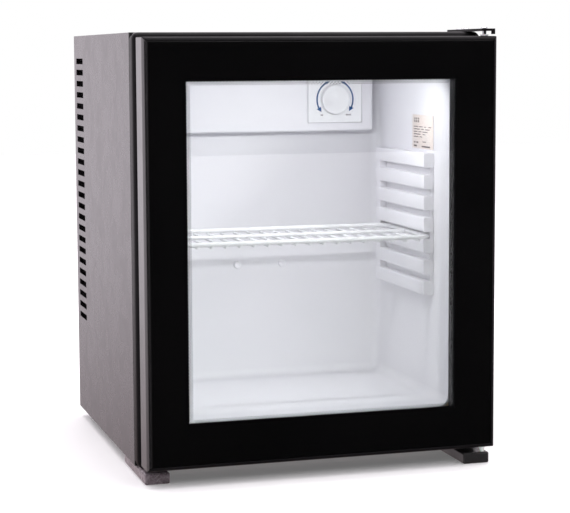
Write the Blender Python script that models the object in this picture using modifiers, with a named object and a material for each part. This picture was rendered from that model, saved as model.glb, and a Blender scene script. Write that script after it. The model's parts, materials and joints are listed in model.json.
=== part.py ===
# Small glass door merchandiser: an insulated steel cabinet with one framed glass door,
# a wire shelf and a silent absorption cooling unit behind the rear wall.
# Metres, +Z up, the door faces -Y, origin on the floor under the middle of the body.

import math

import bmesh
import bpy
from mathutils import Matrix, Vector

# Fits
GAP = 0.0003
WELD = 0.00005
SHEET = 0.001

# Cabinet body
CABINET_WIDTH = 0.400
CABINET_HEIGHT = 0.4735
BODY_DEPTH = 0.341
FRONT_FRAME_DEPTH = 0.019
FRONT_FRAME_RADIUS = 0.007
PANEL_RETURN = 0.014
SIDE_WALL = 0.031
TOP_WALL = 0.042
BOTTOM_WALL = 0.044
REAR_FOAM = 0.028
LINER_SKIN = 0.002
LINER_RADIUS = 0.012
MACHINE_SPACE = 0.073

# Vent slots in the side panels and the rear cover
SLOT_COUNT = 24
SLOT_PITCH = 0.0139
SLOT_LENGTH = 0.045
SLOT_HEIGHT = 0.0068
SLOT_TOP_MARGIN = 0.0315
SLOT_REAR_MARGIN = 0.014
REAR_SLOT_LENGTH = 0.110
REAR_SLOT_HEIGHT = 0.008
REAR_SLOT_PITCH = 0.018
REAR_SLOT_ROWS = 5
REAR_SLOT_SPREAD = 0.092
REAR_SLOT_MARGIN = 0.050

# Shelf runners
RIB_HEIGHT = 0.0167
GROOVE_HEIGHT = 0.0083
RUNNER_DEPTH = 0.0123
GROOVE_DEPTH = 0.0103
RUNNER_FRONT_MARGIN = 0.046
RUNNER_REAR_MARGIN = 0.028
GROOVE_END_WALL = 0.012
RUNNER_FLOOR_MARGIN = 0.1228
RUNNER_CEILING_MARGIN = 0.0975

# Wire shelf
SHELF_FRAME_WIRE = 0.0055
SHELF_WIRE = 0.003
SHELF_WIRE_PITCH = 0.0166
SHELF_CORNER = 0.012
SHELF_SIDE_PLAY = 0.0012
WELD_DEPTH = 0.0006

# Evaporator, thermostat and inner fittings
COVER_HEIGHT = 0.076
COVER_DEPTH = 0.017
COVER_SKIN = 0.002
COVER_SIDE_MARGIN = 0.013
COVER_TOP_MARGIN = 0.002
DIAL_PLATE_WIDTH = 0.071
DIAL_PLATE_HEIGHT = 0.058
DIAL_PLATE_SKIN = 0.0012
DIAL_PLATE_DROP = 0.0385
DIAL_SIDE_MARGIN = 0.064
KNOB_RADIUS = 0.0182
KNOB_HEIGHT = 0.006
KNOB_SLOT = 0.002
KNOB_SLOT_DEPTH = 0.0012
KNOB_SHAFT_RADIUS = 0.003
SHAFT_CLEARANCE = 0.0005
THERMOSTAT_WIDTH = 0.036
THERMOSTAT_HEIGHT = 0.030
EVAPORATOR_PLATE = 0.003
EVAPORATOR_PIPE_RADIUS = 0.005
EVAPORATOR_INSET = 0.010
PLUG_RADIUS = 0.005
PLUG_HEIGHT = 0.0022
PLUG_RISE = 0.144
PLUG_SPACING = 0.058
PLUG_OFFSET = 0.011
LABEL_LENGTH = 0.066
LABEL_HEIGHT = 0.040
LABEL_SKIN = 0.0004
LABEL_CEILING_MARGIN = 0.0545
LABEL_FRONT_MARGIN = 0.048

# Door
DOOR_HEIGHT = 0.461
DOOR_LIFT = 0.0072
DOOR_DEPTH = 0.031
SEAL_SPACE = 0.015
PROFILE_WIDTH = 0.022
RIM = 0.0045
GLASS = 0.004
PRINT = 0.0005
PANE_SPACE = 0.016
SPACER_WIDTH = 0.010
WINDOW_LATCH_MARGIN = 0.0465
WINDOW_HINGE_MARGIN = 0.0495
WINDOW_TOP_MARGIN = 0.047
WINDOW_BOTTOM_MARGIN = 0.050
TRIM_INSET = 0.003
TRIM_WIDTH = 0.031
TRIM_DEPTH = 0.007
GASKET_INSET = 0.0105
GASKET_WIDTH = 0.014
MAGNET_WIDTH = 0.006
MAGNET_DEPTH = 0.0025
TRIM_SCREW_RADIUS = 0.0025
TRIM_SCREW_HEIGHT = 0.0015
TRIM_SCREW_RISES = (0.148, 0.175)

# Hinges and feet
HINGE_INSET = 0.010
HINGE_SETBACK = 0.014
PIN_RADIUS = 0.0022
BUSH_RADIUS = 0.0036
BUSH_FLANGE_RADIUS = 0.0046
BUSH_FLANGE = 0.0015
BUSH_DEPTH = 0.010
PIN_REACH = 0.009
HINGE_PLATE = 0.0026
HINGE_PLATE_WIDTH = 0.016
HINGE_PLATE_FRONT_MARGIN = 0.007
HINGE_PLATE_LENGTH = 0.100
STOP_TAB_DROP = 0.0036
STOP_TAB_DEPTH = 0.008
HINGE_SCREW_RADIUS = 0.0036
HINGE_SCREW_SHANK = 0.0018
HINGE_SCREW_HEAD = 0.0016
HINGE_SCREW_SETBACKS = (0.070, 0.090)
FOOT_HEIGHT = 0.0125
FOOT_REAR_REACH = 0.070
LATCH_FOOT_WIDTH = 0.028
LATCH_FOOT_REACH = 0.0395
HINGE_FOOT_WIDTH = 0.031
HINGE_FOOT_MARGIN = 0.0046
FOOT_SIDE_INSET = 0.0025
FOOT_BEVEL = 0.0014
REAR_FOOT_RADIUS = 0.015
REAR_FOOT_SIDE_INSET = 0.030
REAR_FOOT_SETBACK = 0.040

# Cooling unit, in the machine space behind the foam
BRACKET_HEIGHT = 0.020
BRACKET_DEPTH = 0.003
BRACKET_SIDE_MARGIN = 0.020
LOWER_BRACKET_RISE = 0.055
UPPER_BRACKET_DROP = 0.050
BOILER_RADIUS = 0.029
BOILER_LENGTH = 0.230
BOILER_RISE = 0.040
BOILER_X = 0.115
HEATER_RADIUS = 0.006
HEATER_LENGTH = 0.110
HEATER_STUB = 0.012
VESSEL_RADIUS = 0.024
VESSEL_LENGTH = 0.150
VESSEL_X = -0.105
PIPE_RADIUS = 0.007
THIN_PIPE_RADIUS = 0.0055
THIN_PIPE_BEND = 0.010
COIL_RUNS = 5
COIL_RUN = 0.090
COIL_PITCH = 0.034
CONDENSER_LENGTH = 0.200
CONDENSER_X = -0.030
FIN_COUNT = 16
FIN_SIZE = 0.040
FIN_THICKNESS = 0.001
TERMINAL_WIDTH = 0.052
TERMINAL_HEIGHT = 0.060
TERMINAL_DEPTH = 0.034
TERMINAL_X = 0.0
INLET_WIDTH = 0.027
INLET_HEIGHT = 0.020
INLET_DEPTH = 0.016
COVER_SCREW_RADIUS = 0.004
COVER_SCREW_HEAD = 0.0016
COVER_SCREW_SHANK = 0.0016
COVER_SCREW_MARGIN = 0.030
COVER_SCREW_INSET = 0.008

# Planes that follow from the sizes above
HALF_WIDTH = CABINET_WIDTH / 2
SCREW_ALLOWANCE = GAP + COVER_SCREW_HEAD
TOTAL_DEPTH = (DOOR_DEPTH + SEAL_SPACE + FRONT_FRAME_DEPTH + BODY_DEPTH
               + SCREW_ALLOWANCE)
GLASS_Y = -TOTAL_DEPTH / 2
DOOR_BACK_Y = GLASS_Y + DOOR_DEPTH
FRAME_Y = DOOR_BACK_Y + SEAL_SPACE
BODY_Y = FRAME_Y + FRONT_FRAME_DEPTH
REAR_Y = BODY_Y + BODY_DEPTH
MACHINE_Y = REAR_Y - SHEET - MACHINE_SPACE
FOAM_END_Y = MACHINE_Y - SHEET - GAP
LINER_BACK_Y = FOAM_END_Y - REAR_FOAM - GAP - LINER_SKIN
BASE_Z = FOOT_HEIGHT + GAP
TOP_Z = BASE_Z + CABINET_HEIGHT
FLOOR_Z = BASE_Z + BOTTOM_WALL
CEILING_Z = TOP_Z - TOP_WALL
LINER_X = HALF_WIDTH - SIDE_WALL
DOOR_BOTTOM_Z = BASE_Z + DOOR_LIFT
DOOR_TOP_Z = DOOR_BOTTOM_Z + DOOR_HEIGHT
DOOR_MIDDLE_Z = (DOOR_BOTTOM_Z + DOOR_TOP_Z) / 2
HINGE_X = HALF_WIDTH - HINGE_INSET
HINGE_Y = GLASS_Y + HINGE_SETBACK
HINGE_PLATE_Z = TOP_Z + GAP
PIPE_Y = MACHINE_Y + BRACKET_DEPTH + 2 * GAP + VESSEL_RADIUS
GROOVE_PITCH = RIB_HEIGHT + GROOVE_HEIGHT
RUNNER_SPACE = CEILING_Z - FLOOR_Z - RUNNER_FLOOR_MARGIN - RUNNER_CEILING_MARGIN
RIB_COUNT = int((RUNNER_SPACE + GROOVE_HEIGHT) / GROOVE_PITCH)
RUNNER_BOTTOM_Z = FLOOR_Z + RUNNER_FLOOR_MARGIN
RUNNER_TOP_Z = RUNNER_BOTTOM_Z + RIB_COUNT * GROOVE_PITCH - GROOVE_HEIGHT
RUNNER_FRONT_Y = BODY_Y + RUNNER_FRONT_MARGIN
RUNNER_BACK_Y = LINER_BACK_Y - RUNNER_REAR_MARGIN
GROOVE_BACK_Y = RUNNER_BACK_Y - GROOVE_END_WALL
SHELF_GROOVE = (RIB_COUNT - 2) // 2
SHELF_GROOVE_Z = RUNNER_BOTTOM_Z + SHELF_GROOVE * GROOVE_PITCH + RIB_HEIGHT
COVER_Y = LINER_BACK_Y - GAP - COVER_DEPTH
COVER_TOP_Z = CEILING_Z - COVER_TOP_MARGIN
COVER_BOTTOM_Z = COVER_TOP_Z - COVER_HEIGHT
KNOB_X = LINER_X - DIAL_SIDE_MARGIN
KNOB_Z = CEILING_Z - DIAL_PLATE_DROP
DIAL_PLATE_Y = COVER_Y - GAP - DIAL_PLATE_SKIN
EVAPORATOR_LOW_Z = COVER_BOTTOM_Z + EVAPORATOR_INSET
EVAPORATOR_HIGH_Z = COVER_TOP_Z - EVAPORATOR_INSET
EVAPORATOR_LEFT_X = -LINER_X + COVER_SIDE_MARGIN + EVAPORATOR_INSET
EVAPORATOR_RIGHT_X = KNOB_X - THERMOSTAT_WIDTH / 2 - EVAPORATOR_INSET
CONDENSER_Z = TOP_Z - UPPER_BRACKET_DROP
RETURN_PIPE_X = CONDENSER_X - CONDENSER_LENGTH / 2 + 0.040
FEED_PIPE_X = RETURN_PIPE_X + 0.040
EVAPORATOR_PIPE_Z = (EVAPORATOR_LOW_Z + EVAPORATOR_HIGH_Z) / 2
PIPE_END_Y = MACHINE_Y + BRACKET_DEPTH + GAP

# Base colour, roughness, metallic
FINISHES = {
    "painted_steel": ((0.115, 0.105, 0.105, 1), 0.42, 0.0),
    "galvanised_steel": ((0.50, 0.51, 0.52, 1), 0.45, 1.0),
    "black_frame": ((0.012, 0.012, 0.013, 1), 0.22, 0.0),
    "black_plastic": ((0.020, 0.019, 0.019, 1), 0.50, 0.0),
    "white_liner": ((0.80, 0.80, 0.83, 1), 0.35, 0.0),
    "white_coating": ((0.85, 0.85, 0.86, 1), 0.30, 0.0),
    "white_nylon": ((0.82, 0.82, 0.80, 1), 0.45, 0.0),
    "foam": ((0.72, 0.62, 0.38, 1), 0.90, 0.0),
    "aluminium": ((0.70, 0.71, 0.72, 1), 0.35, 1.0),
    "black_pipe": ((0.025, 0.025, 0.027, 1), 0.40, 0.0),
    "clear_glass": ((0.90, 0.95, 0.93, 1), 0.02, 0.0),
    "black_print": ((0.006, 0.006, 0.007, 1), 0.15, 0.0),
    "rubber": ((0.018, 0.018, 0.018, 1), 0.70, 0.0),
    "magnet": ((0.060, 0.050, 0.045, 1), 0.80, 0.0),
    "bright_steel": ((0.62, 0.63, 0.64, 1), 0.28, 1.0),
    "label_paper": ((0.78, 0.68, 0.62, 1), 0.60, 0.0),
}

PARTS = "glass_door_merchandiser"
CUTTERS = "cutters"


# Scene set-up

def clear_scene():
    for item in list(bpy.data.objects):
        bpy.data.objects.remove(item, do_unlink=True)


def add_collection(name):
    collection = bpy.data.collections.new(name)
    bpy.context.scene.collection.children.link(collection)
    return collection


def add_finish(name):
    colour, roughness, metallic = FINISHES[name]
    material = bpy.data.materials.new(name)
    material.use_nodes = True
    shader = material.node_tree.nodes["Principled BSDF"]
    shader.inputs["Base Color"].default_value = colour
    shader.inputs["Roughness"].default_value = roughness
    shader.inputs["Metallic"].default_value = metallic
    material.diffuse_color = colour
    return material


def add_body(name, location):
    body = bpy.data.objects.new(name, None)
    body.location = location
    body.empty_display_size = 0.03
    bpy.data.collections[PARTS].objects.link(body)
    return body


# Placing pieces

def place(name, data, centre, body, finish=None, turn=(0, 0, 0)):
    """A piece of the object on its body, or a hidden cutter where no finish is given."""
    piece = bpy.data.objects.new(name, data)
    piece.parent = body
    piece.location = [c - b for c, b in zip(centre, body.location)]
    piece.rotation_euler = turn
    if finish is None:
        piece.hide_render = True
        piece.display_type = "WIRE"
        bpy.data.collections[CUTTERS].objects.link(piece)
    else:
        data.materials.append(bpy.data.materials[finish])
        bpy.data.collections[PARTS].objects.link(piece)
    return piece


def mesh_from(bm, name):
    bmesh.ops.recalc_face_normals(bm, faces=bm.faces)
    mesh = bpy.data.meshes.new(name)
    bm.to_mesh(mesh)
    bm.free()
    return mesh


def cuboid(bm, low, high):
    made = bmesh.ops.create_cube(bm, size=1.0)
    size = [h - l for l, h in zip(low, high)]
    centre = [(l + h) / 2 for l, h in zip(low, high)]
    bmesh.ops.scale(bm, vec=size, verts=made["verts"])
    bmesh.ops.translate(bm, vec=centre, verts=made["verts"])


def rod(bm, start, axis, radius, length, sides=16):
    """A cylinder that runs from start along +X, +Y or +Z."""
    made = bmesh.ops.create_cone(
        bm, cap_ends=True, segments=sides, radius1=radius, radius2=radius, depth=length)
    turn = {"X": ("Y", 90), "Y": ("X", -90), "Z": ("Z", 0)}[axis]
    centre = list(start)
    centre["XYZ".index(axis)] += length / 2
    turning = Matrix.Rotation(math.radians(turn[1]), 3, turn[0])
    bmesh.ops.rotate(bm, verts=made["verts"], matrix=turning)
    bmesh.ops.translate(bm, vec=centre, verts=made["verts"])


def middle(low, high):
    return [(l + h) / 2 for l, h in zip(low, high)]


def block(name, low, high, body, finish=None, bevel=0.0, segments=2):
    size = [(h - l) / 2 for l, h in zip(low, high)]
    bm = bmesh.new()
    cuboid(bm, [-s for s in size], size)
    piece = place(name, mesh_from(bm, name), middle(low, high), body, finish)
    if bevel:
        round_edges(piece, bevel, segments)
    return piece


def round_edges(piece, width, segments=2):
    bevel = piece.modifiers.new("rounded edges", "BEVEL")
    bevel.width = width
    bevel.segments = segments
    bevel.limit_method = "ANGLE"
    bevel.angle_limit = math.radians(50)
    return bevel


def boolean(piece, other, operation):
    step = piece.modifiers.new(other.name, "BOOLEAN")
    step.operation = operation
    step.solver = "EXACT"
    step.object = other
    return step


def cut(piece, cutter):
    boolean(piece, cutter, "DIFFERENCE")


def join(piece, other):
    boolean(piece, other, "UNION")


def smooth(piece, degrees=35):
    piece.data.shade_smooth()
    piece.data.set_sharp_from_angle(angle=math.radians(degrees))


def cylinder(name, start, axis, radius, length, body, finish=None, sides=16):
    bm = bmesh.new()
    rod(bm, (0, 0, 0), axis, radius, length, sides)
    piece = place(name, mesh_from(bm, name), start, body, finish)
    smooth(piece)
    return piece


def turned(name, profile, centre, body, finish, turn=(0, 0, 0), steps=24):
    """A profile of (radius, height) points, top to bottom on its outer side, spun about +Z."""
    mesh = bpy.data.meshes.new(name)
    edges = [(i, i + 1) for i in range(len(profile) - 1)]
    mesh.from_pydata([(r, 0, z) for r, z in profile], edges, [])
    piece = place(name, mesh, centre, body, finish, turn)
    screw = piece.modifiers.new("turned", "SCREW")
    screw.steps = steps
    screw.render_steps = steps
    screw.use_merge_vertices = True
    screw.merge_threshold = WELD
    return piece


def tube(name, points, radius, body, finish, bevel_resolution=2):
    """A pipe along world points, with filled ends."""
    curve = bpy.data.curves.new(name, "CURVE")
    curve.dimensions = "3D"
    curve.bevel_depth = radius
    curve.bevel_resolution = bevel_resolution
    curve.use_fill_caps = True
    curve.render_resolution_u = 0
    line = curve.splines.new("POLY")
    line.points.add(len(points) - 1)
    for point, place_at in zip(line.points, points):
        point.co = (*[p - b for p, b in zip(place_at, body.location)], 1)
    return place(name, curve, body.location, body, finish)


def rounded_path(corners, radius, steps=4):
    """The corners of a path with each inner corner replaced by an arc."""
    path = [Vector(corners[0])]
    for before, corner, after in zip(corners, corners[1:], corners[2:]):
        corner = Vector(corner)
        back = (Vector(before) - corner).normalized()
        ahead = (Vector(after) - corner).normalized()
        half = back.angle(ahead) / 2
        reach = radius / math.tan(half)
        centre = corner + (back + ahead).normalized() * radius / math.sin(half)
        start = corner + back * reach - centre
        end = corner + ahead * reach - centre
        path += [centre + start.slerp(end, i / steps) * radius for i in range(steps + 1)]
    path.append(Vector(corners[-1]))
    return path


def frame_ring(name, outer, inner, y_low, y_high, body, finish=None, bevel=0.0):
    """A rectangular ring facing Y; outer and inner are (left, right, bottom, top)."""
    piece = block(name, (outer[0], y_low, outer[2]), (outer[1], y_high, outer[3]),
                  body, finish, bevel)
    opening = block(name + "_opening", (inner[0], y_low - SHEET, inner[2]),
                    (inner[1], y_high + SHEET, inner[3]), body)
    cut(piece, opening)
    return piece


def door_rectangle(inset):
    return (-HALF_WIDTH + inset, HALF_WIDTH - inset,
            DOOR_BOTTOM_Z + inset, DOOR_TOP_Z - inset)


# Cabinet shell

def side_panel(name, side, cabinet):
    """A sheet with its rear edge folded inwards and a column of vent slots."""
    outer = side * (HALF_WIDTH - SHEET / 2)
    fold = side * (HALF_WIDTH - PANEL_RETURN)
    rear = REAR_Y - SHEET - GAP - SHEET / 2
    front = BODY_Y + GAP
    middle_y = (front + rear) / 2
    half_height = CABINET_HEIGHT / 2
    corners = [(fold, rear), (outer, rear), (outer, front)]
    bm = bmesh.new()
    line = [bm.verts.new((x - outer, y - middle_y, -half_height)) for x, y in corners]
    edges = [bm.edges.new(pair) for pair in zip(line, line[1:])]
    raised = bmesh.ops.extrude_edge_only(bm, edges=edges)["geom"]
    tops = [item for item in raised if isinstance(item, bmesh.types.BMVert)]
    bmesh.ops.translate(bm, vec=(0, 0, CABINET_HEIGHT), verts=tops)
    mesh = mesh_from(bm, name)
    panel = place(name, mesh, (outer, middle_y, BASE_Z + half_height), cabinet, "painted_steel")
    wall = panel.modifiers.new("sheet", "SOLIDIFY")
    wall.thickness = SHEET
    wall.offset = 0
    wall.use_even_offset = True
    cut(panel, side_slots(name + "_slots", side, cabinet))
    return panel


def side_slots(name, side, cabinet):
    rear = REAR_Y - SLOT_REAR_MARGIN
    bm = bmesh.new()
    for index in range(SLOT_COUNT):
        z = -index * SLOT_PITCH
        cuboid(bm, (-3 * SHEET, -SLOT_LENGTH, z - SLOT_HEIGHT / 2),
               (3 * SHEET, 0, z + SLOT_HEIGHT / 2))
    top = TOP_Z - SLOT_TOP_MARGIN
    return place(name, mesh_from(bm, name), (side * HALF_WIDTH, rear, top), cabinet)


def top_panel(cabinet):
    inner = HALF_WIDTH - SHEET - GAP
    panel = block("top_panel", (-inner, BODY_Y + GAP, TOP_Z - SHEET),
                  (inner, REAR_Y - 2 * SHEET - 2 * GAP, TOP_Z), cabinet, "painted_steel")
    for index, setback in enumerate(HINGE_SCREW_SETBACKS):
        hole = cylinder(f"hinge_screw_hole_{index + 1}",
                        (HINGE_PLATE_X, GLASS_Y + setback, TOP_Z - 3 * SHEET), "Z",
                        HINGE_SCREW_SHANK + GAP, 6 * SHEET, cabinet)
        cut(panel, hole)
    return panel


def base_panel(cabinet):
    inner = HALF_WIDTH - SHEET - GAP
    return block("base_panel", (-inner, BODY_Y + GAP, BASE_Z),
                 (inner, FOAM_END_Y, BASE_Z + SHEET), cabinet, "galvanised_steel")


def front_frame(cabinet):
    outer = (-HALF_WIDTH, HALF_WIDTH, BASE_Z, TOP_Z)
    inner = (-LINER_X, LINER_X, FLOOR_Z, CEILING_Z)
    frame = block("front_frame", (outer[0], FRAME_Y, outer[2]), (outer[1], BODY_Y, outer[3]),
                  cabinet, "black_frame")
    weight_front_edges(frame)
    opening = block("front_frame_opening", (inner[0], FRAME_Y - SHEET, inner[2]),
                    (inner[1], BODY_Y + SHEET, inner[3]), cabinet)
    cut(frame, opening)
    return frame


def weight_front_edges(frame):
    """Rounds the four outer front edges and the short corner edges, not the rear ones."""
    bm = bmesh.new()
    bm.from_mesh(frame.data)
    rear = max(v.co.y for v in bm.verts)
    edges = [e for e in bm.edges if min(v.co.y for v in e.verts) < rear - SHEET]
    bmesh.ops.bevel(bm, geom=edges, offset=FRONT_FRAME_RADIUS, segments=4,
                    affect="EDGES", profile=0.5)
    bm.to_mesh(frame.data)
    bm.free()
    smooth(frame)


def foam_insulation(cabinet):
    side = HALF_WIDTH - SHEET - GAP
    foam = block("foam_insulation", (-side, BODY_Y + GAP, BASE_Z + SHEET + GAP),
                 (side, FOAM_END_Y, TOP_Z - SHEET - GAP), cabinet, "foam")
    skin = LINER_SKIN + GAP
    pocket = block("foam_pocket", (-LINER_X - skin, BODY_Y - SHEET, FLOOR_Z - skin),
                   (LINER_X + skin, LINER_BACK_Y + skin, CEILING_Z + skin), cabinet)
    cut(foam, pocket)
    for name, x in (("return", RETURN_PIPE_X), ("feed", FEED_PIPE_X)):
        cut(foam, pipe_hole(f"foam_{name}_hole", x, cabinet))
    return foam


def pipe_hole(name, x, cabinet):
    start = (x, COVER_Y, EVAPORATOR_PIPE_Z)
    length = MACHINE_Y - COVER_Y + SHEET
    return cylinder(name, start, "Y", EVAPORATOR_PIPE_RADIUS + GAP, length, cabinet)


def foam_back_plate(cabinet):
    side = HALF_WIDTH - SHEET - GAP
    plate = block("foam_back_plate", (-side, MACHINE_Y - SHEET, BASE_Z + SHEET + GAP),
                  (side, MACHINE_Y, TOP_Z - SHEET - GAP), cabinet, "galvanised_steel")
    for name, x in (("return", RETURN_PIPE_X), ("feed", FEED_PIPE_X)):
        cut(plate, pipe_hole(f"plate_{name}_hole", x, cabinet))
    return plate


def liner(cabinet):
    """A moulded tub thickened outwards; only the edge behind the evaporator cover is sharp."""
    low = (-LINER_X, BODY_Y + GAP, FLOOR_Z)
    high = (LINER_X, LINER_BACK_Y, CEILING_Z)
    size = [(h - l) / 2 for l, h in zip(low, high)]
    bm = bmesh.new()
    cuboid(bm, [-s for s in size], size)
    front = [f for f in bm.faces if f.calc_center_median().y < -size[1] + SHEET]
    bmesh.ops.delete(bm, geom=front, context="FACES_ONLY")
    hidden = [e for e in bm.edges if all(v.co.y > 0 and v.co.z > 0 for v in e.verts)]
    rounded = [e for e in bm.edges if len(e.link_faces) == 2 and e not in hidden]
    bmesh.ops.bevel(bm, geom=rounded, offset=LINER_RADIUS, segments=3,
                    affect="EDGES", profile=0.5)
    tub = place("inner_liner", mesh_from(bm, "inner_liner"), middle(low, high), cabinet,
                "white_liner")
    wall = tub.modifiers.new("moulded wall", "SOLIDIFY")
    wall.thickness = LINER_SKIN
    wall.offset = 1
    wall.use_even_offset = True
    for name, x in (("return", RETURN_PIPE_X), ("feed", FEED_PIPE_X)):
        cut(tub, pipe_hole(f"liner_{name}_hole", x, cabinet))
    return tub


def rear_cover(cabinet):
    cover = block("rear_cover", (-HALF_WIDTH, REAR_Y - SHEET, BASE_Z),
                  (HALF_WIDTH, REAR_Y, TOP_Z), cabinet, "painted_steel")
    bm = bmesh.new()
    for side in (-1, 1):
        for row in range(REAR_SLOT_ROWS):
            for z in (REAR_SLOT_MARGIN + row * REAR_SLOT_PITCH,
                      CABINET_HEIGHT - REAR_SLOT_MARGIN - row * REAR_SLOT_PITCH):
                x = side * REAR_SLOT_SPREAD
                cuboid(bm, (x - REAR_SLOT_LENGTH / 2, -3 * SHEET, z - REAR_SLOT_HEIGHT / 2),
                       (x + REAR_SLOT_LENGTH / 2, 3 * SHEET, z + REAR_SLOT_HEIGHT / 2))
    slots = place("rear_cover_slots", mesh_from(bm, "rear_cover_slots"),
                  (0, REAR_Y - SHEET / 2, BASE_Z), cabinet)
    cut(cover, slots)
    cut(cover, inlet_window(cabinet))
    for index, (x, z) in enumerate(cover_screw_places()):
        hole = cylinder(f"rear_cover_hole_{index + 1}", (x, REAR_Y - 4 * SHEET, z), "Y",
                        COVER_SCREW_SHANK + GAP, 6 * SHEET, cabinet, sides=12)
        cut(cover, hole)
        for panel in ("side_panel_left", "side_panel_right"):
            if (x < 0) == panel.endswith("left"):
                cut(bpy.data.objects[panel], hole)
    return cover


def inlet_window(cabinet):
    low, high = terminal_box_limits()
    margin = GAP
    return block("inlet_window", (low[0] - margin, REAR_Y - 4 * SHEET, low[2] - margin),
                 (high[0] + margin, REAR_Y + 4 * SHEET, high[2] + margin), cabinet)


def cover_screw_places():
    x = HALF_WIDTH - COVER_SCREW_INSET
    return [(side * x, z) for side in (-1, 1)
            for z in (BASE_Z + COVER_SCREW_MARGIN, TOP_Z - COVER_SCREW_MARGIN)]


def rear_cover_screws(cabinet):
    for index, (x, z) in enumerate(cover_screw_places()):
        screw(f"rear_cover_screw_{index + 1}", COVER_SCREW_RADIUS, COVER_SCREW_HEAD,
              COVER_SCREW_SHANK, 2 * SHEET + 2 * GAP, (x, REAR_Y + GAP, z), cabinet,
              turn=(-math.pi / 2, 0, 0))


def screw(name, head_radius, head_height, shank_radius, shank_length, seat, body, turn):
    """A domed screw whose head stands on its seat, shank along local -Z."""
    edge = head_height * 0.4
    profile = [(0, head_height), (head_radius * 0.55, head_height), (head_radius, edge),
               (head_radius, 0), (shank_radius, 0), (shank_radius, -shank_length),
               (0, -shank_length)]
    return turned(name, profile, seat, body, "bright_steel", turn, steps=12)


# Interior

def shelf_runner(name, side, cabinet):
    """A ribbed pad on the side wall; its grooves are open at the front and shut at the rear."""
    wall = side * (LINER_X - GAP)
    inner = side * (LINER_X - GAP - RUNNER_DEPTH)
    low = (min(wall, inner), RUNNER_FRONT_Y, RUNNER_BOTTOM_Z)
    high = (max(wall, inner), RUNNER_BACK_Y, RUNNER_TOP_Z)
    pad = block(name, low, high, cabinet, "white_liner")
    floor = side * (LINER_X - GAP - RUNNER_DEPTH + GROOVE_DEPTH)
    past = side * (LINER_X - 2 * RUNNER_DEPTH)
    bm = bmesh.new()
    for index in range(RIB_COUNT - 1):
        z = index * GROOVE_PITCH + RIB_HEIGHT
        cuboid(bm, (min(floor, past), RUNNER_FRONT_Y - RUNNER_DEPTH, z),
               (max(floor, past), GROOVE_BACK_Y, z + GROOVE_HEIGHT))
    grooves = place(name + "_grooves", mesh_from(bm, name), (0, 0, RUNNER_BOTTOM_Z), cabinet)
    cut(pad, grooves)
    return pad


def evaporator_cover(cabinet):
    """A shallow white box, open at its back, over the evaporator and thermostat."""
    side = LINER_X - COVER_SIDE_MARGIN
    low = (-side, COVER_Y, COVER_BOTTOM_Z)
    high = (side, LINER_BACK_Y - GAP, COVER_TOP_Z)
    cover = block("evaporator_cover", low, high, cabinet, "white_liner", COVER_SKIN / 2)
    hollow = block("evaporator_cover_hollow",
                   (low[0] + COVER_SKIN, low[1] + COVER_SKIN, low[2] + COVER_SKIN),
                   (high[0] - COVER_SKIN, high[1] + COVER_SKIN, high[2] - COVER_SKIN), cabinet)
    cut(cover, hollow)
    cut(cover, shaft_hole("cover_shaft_hole", cabinet))
    return cover


def shaft_hole(name, cabinet):
    start = (KNOB_X, DIAL_PLATE_Y - SHEET, KNOB_Z)
    length = COVER_Y + COVER_SKIN + SHEET - start[1]
    return cylinder(name, start, "Y", KNOB_SHAFT_RADIUS + SHAFT_CLEARANCE, length, cabinet)


def dial_plate(cabinet):
    half = DIAL_PLATE_WIDTH / 2
    plate = block("dial_plate", (KNOB_X - half, DIAL_PLATE_Y, KNOB_Z - DIAL_PLATE_HEIGHT / 2),
                  (KNOB_X + half, DIAL_PLATE_Y + DIAL_PLATE_SKIN, KNOB_Z + DIAL_PLATE_HEIGHT / 2),
                  cabinet, "white_coating")
    cut(plate, shaft_hole("plate_shaft_hole", cabinet))
    return plate


def thermostat_limits():
    front = COVER_Y + COVER_SKIN + GAP
    return ((KNOB_X - THERMOSTAT_WIDTH / 2, front, KNOB_Z - THERMOSTAT_HEIGHT / 2),
            (KNOB_X + THERMOSTAT_WIDTH / 2, LINER_BACK_Y - GAP, KNOB_Z + THERMOSTAT_HEIGHT / 2))


def thermostat_body(cabinet):
    low, high = thermostat_limits()
    case = block("thermostat_body", low, high, cabinet, "black_plastic")
    bore = cylinder("thermostat_bore", (KNOB_X, low[1] - SHEET, KNOB_Z), "Y",
                    KNOB_SHAFT_RADIUS + GAP, SHEET + shaft_reach() + GAP, cabinet)
    cut(case, bore)
    return case


def shaft_reach():
    """How far the knob's shaft goes into the thermostat."""
    low, high = thermostat_limits()
    return (high[1] - low[1]) / 2


def thermostat_knob(knob_body):
    low, high = thermostat_limits()
    seat_y = DIAL_PLATE_Y - GAP
    shaft = low[1] + shaft_reach() - seat_y
    edge = KNOB_HEIGHT * 0.12
    profile = [(0, KNOB_HEIGHT), (KNOB_RADIUS - edge, KNOB_HEIGHT),
               (KNOB_RADIUS, KNOB_HEIGHT - edge), (KNOB_RADIUS, 0), (KNOB_SHAFT_RADIUS, 0),
               (KNOB_SHAFT_RADIUS, -shaft), (0, -shaft)]
    knob = turned("thermostat_knob", profile, (KNOB_X, seat_y, KNOB_Z), knob_body,
                  "white_coating", turn=(math.pi / 2, 0, 0), steps=40)
    cut(knob, block("knob_slot", (KNOB_X - KNOB_SLOT / 2, seat_y - 2 * KNOB_HEIGHT,
                                  KNOB_Z - KNOB_RADIUS / 2),
                    (KNOB_X + KNOB_SLOT / 2, seat_y - KNOB_HEIGHT + KNOB_SLOT_DEPTH,
                     KNOB_Z + KNOB_RADIUS / 2), knob_body))
    return knob


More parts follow.
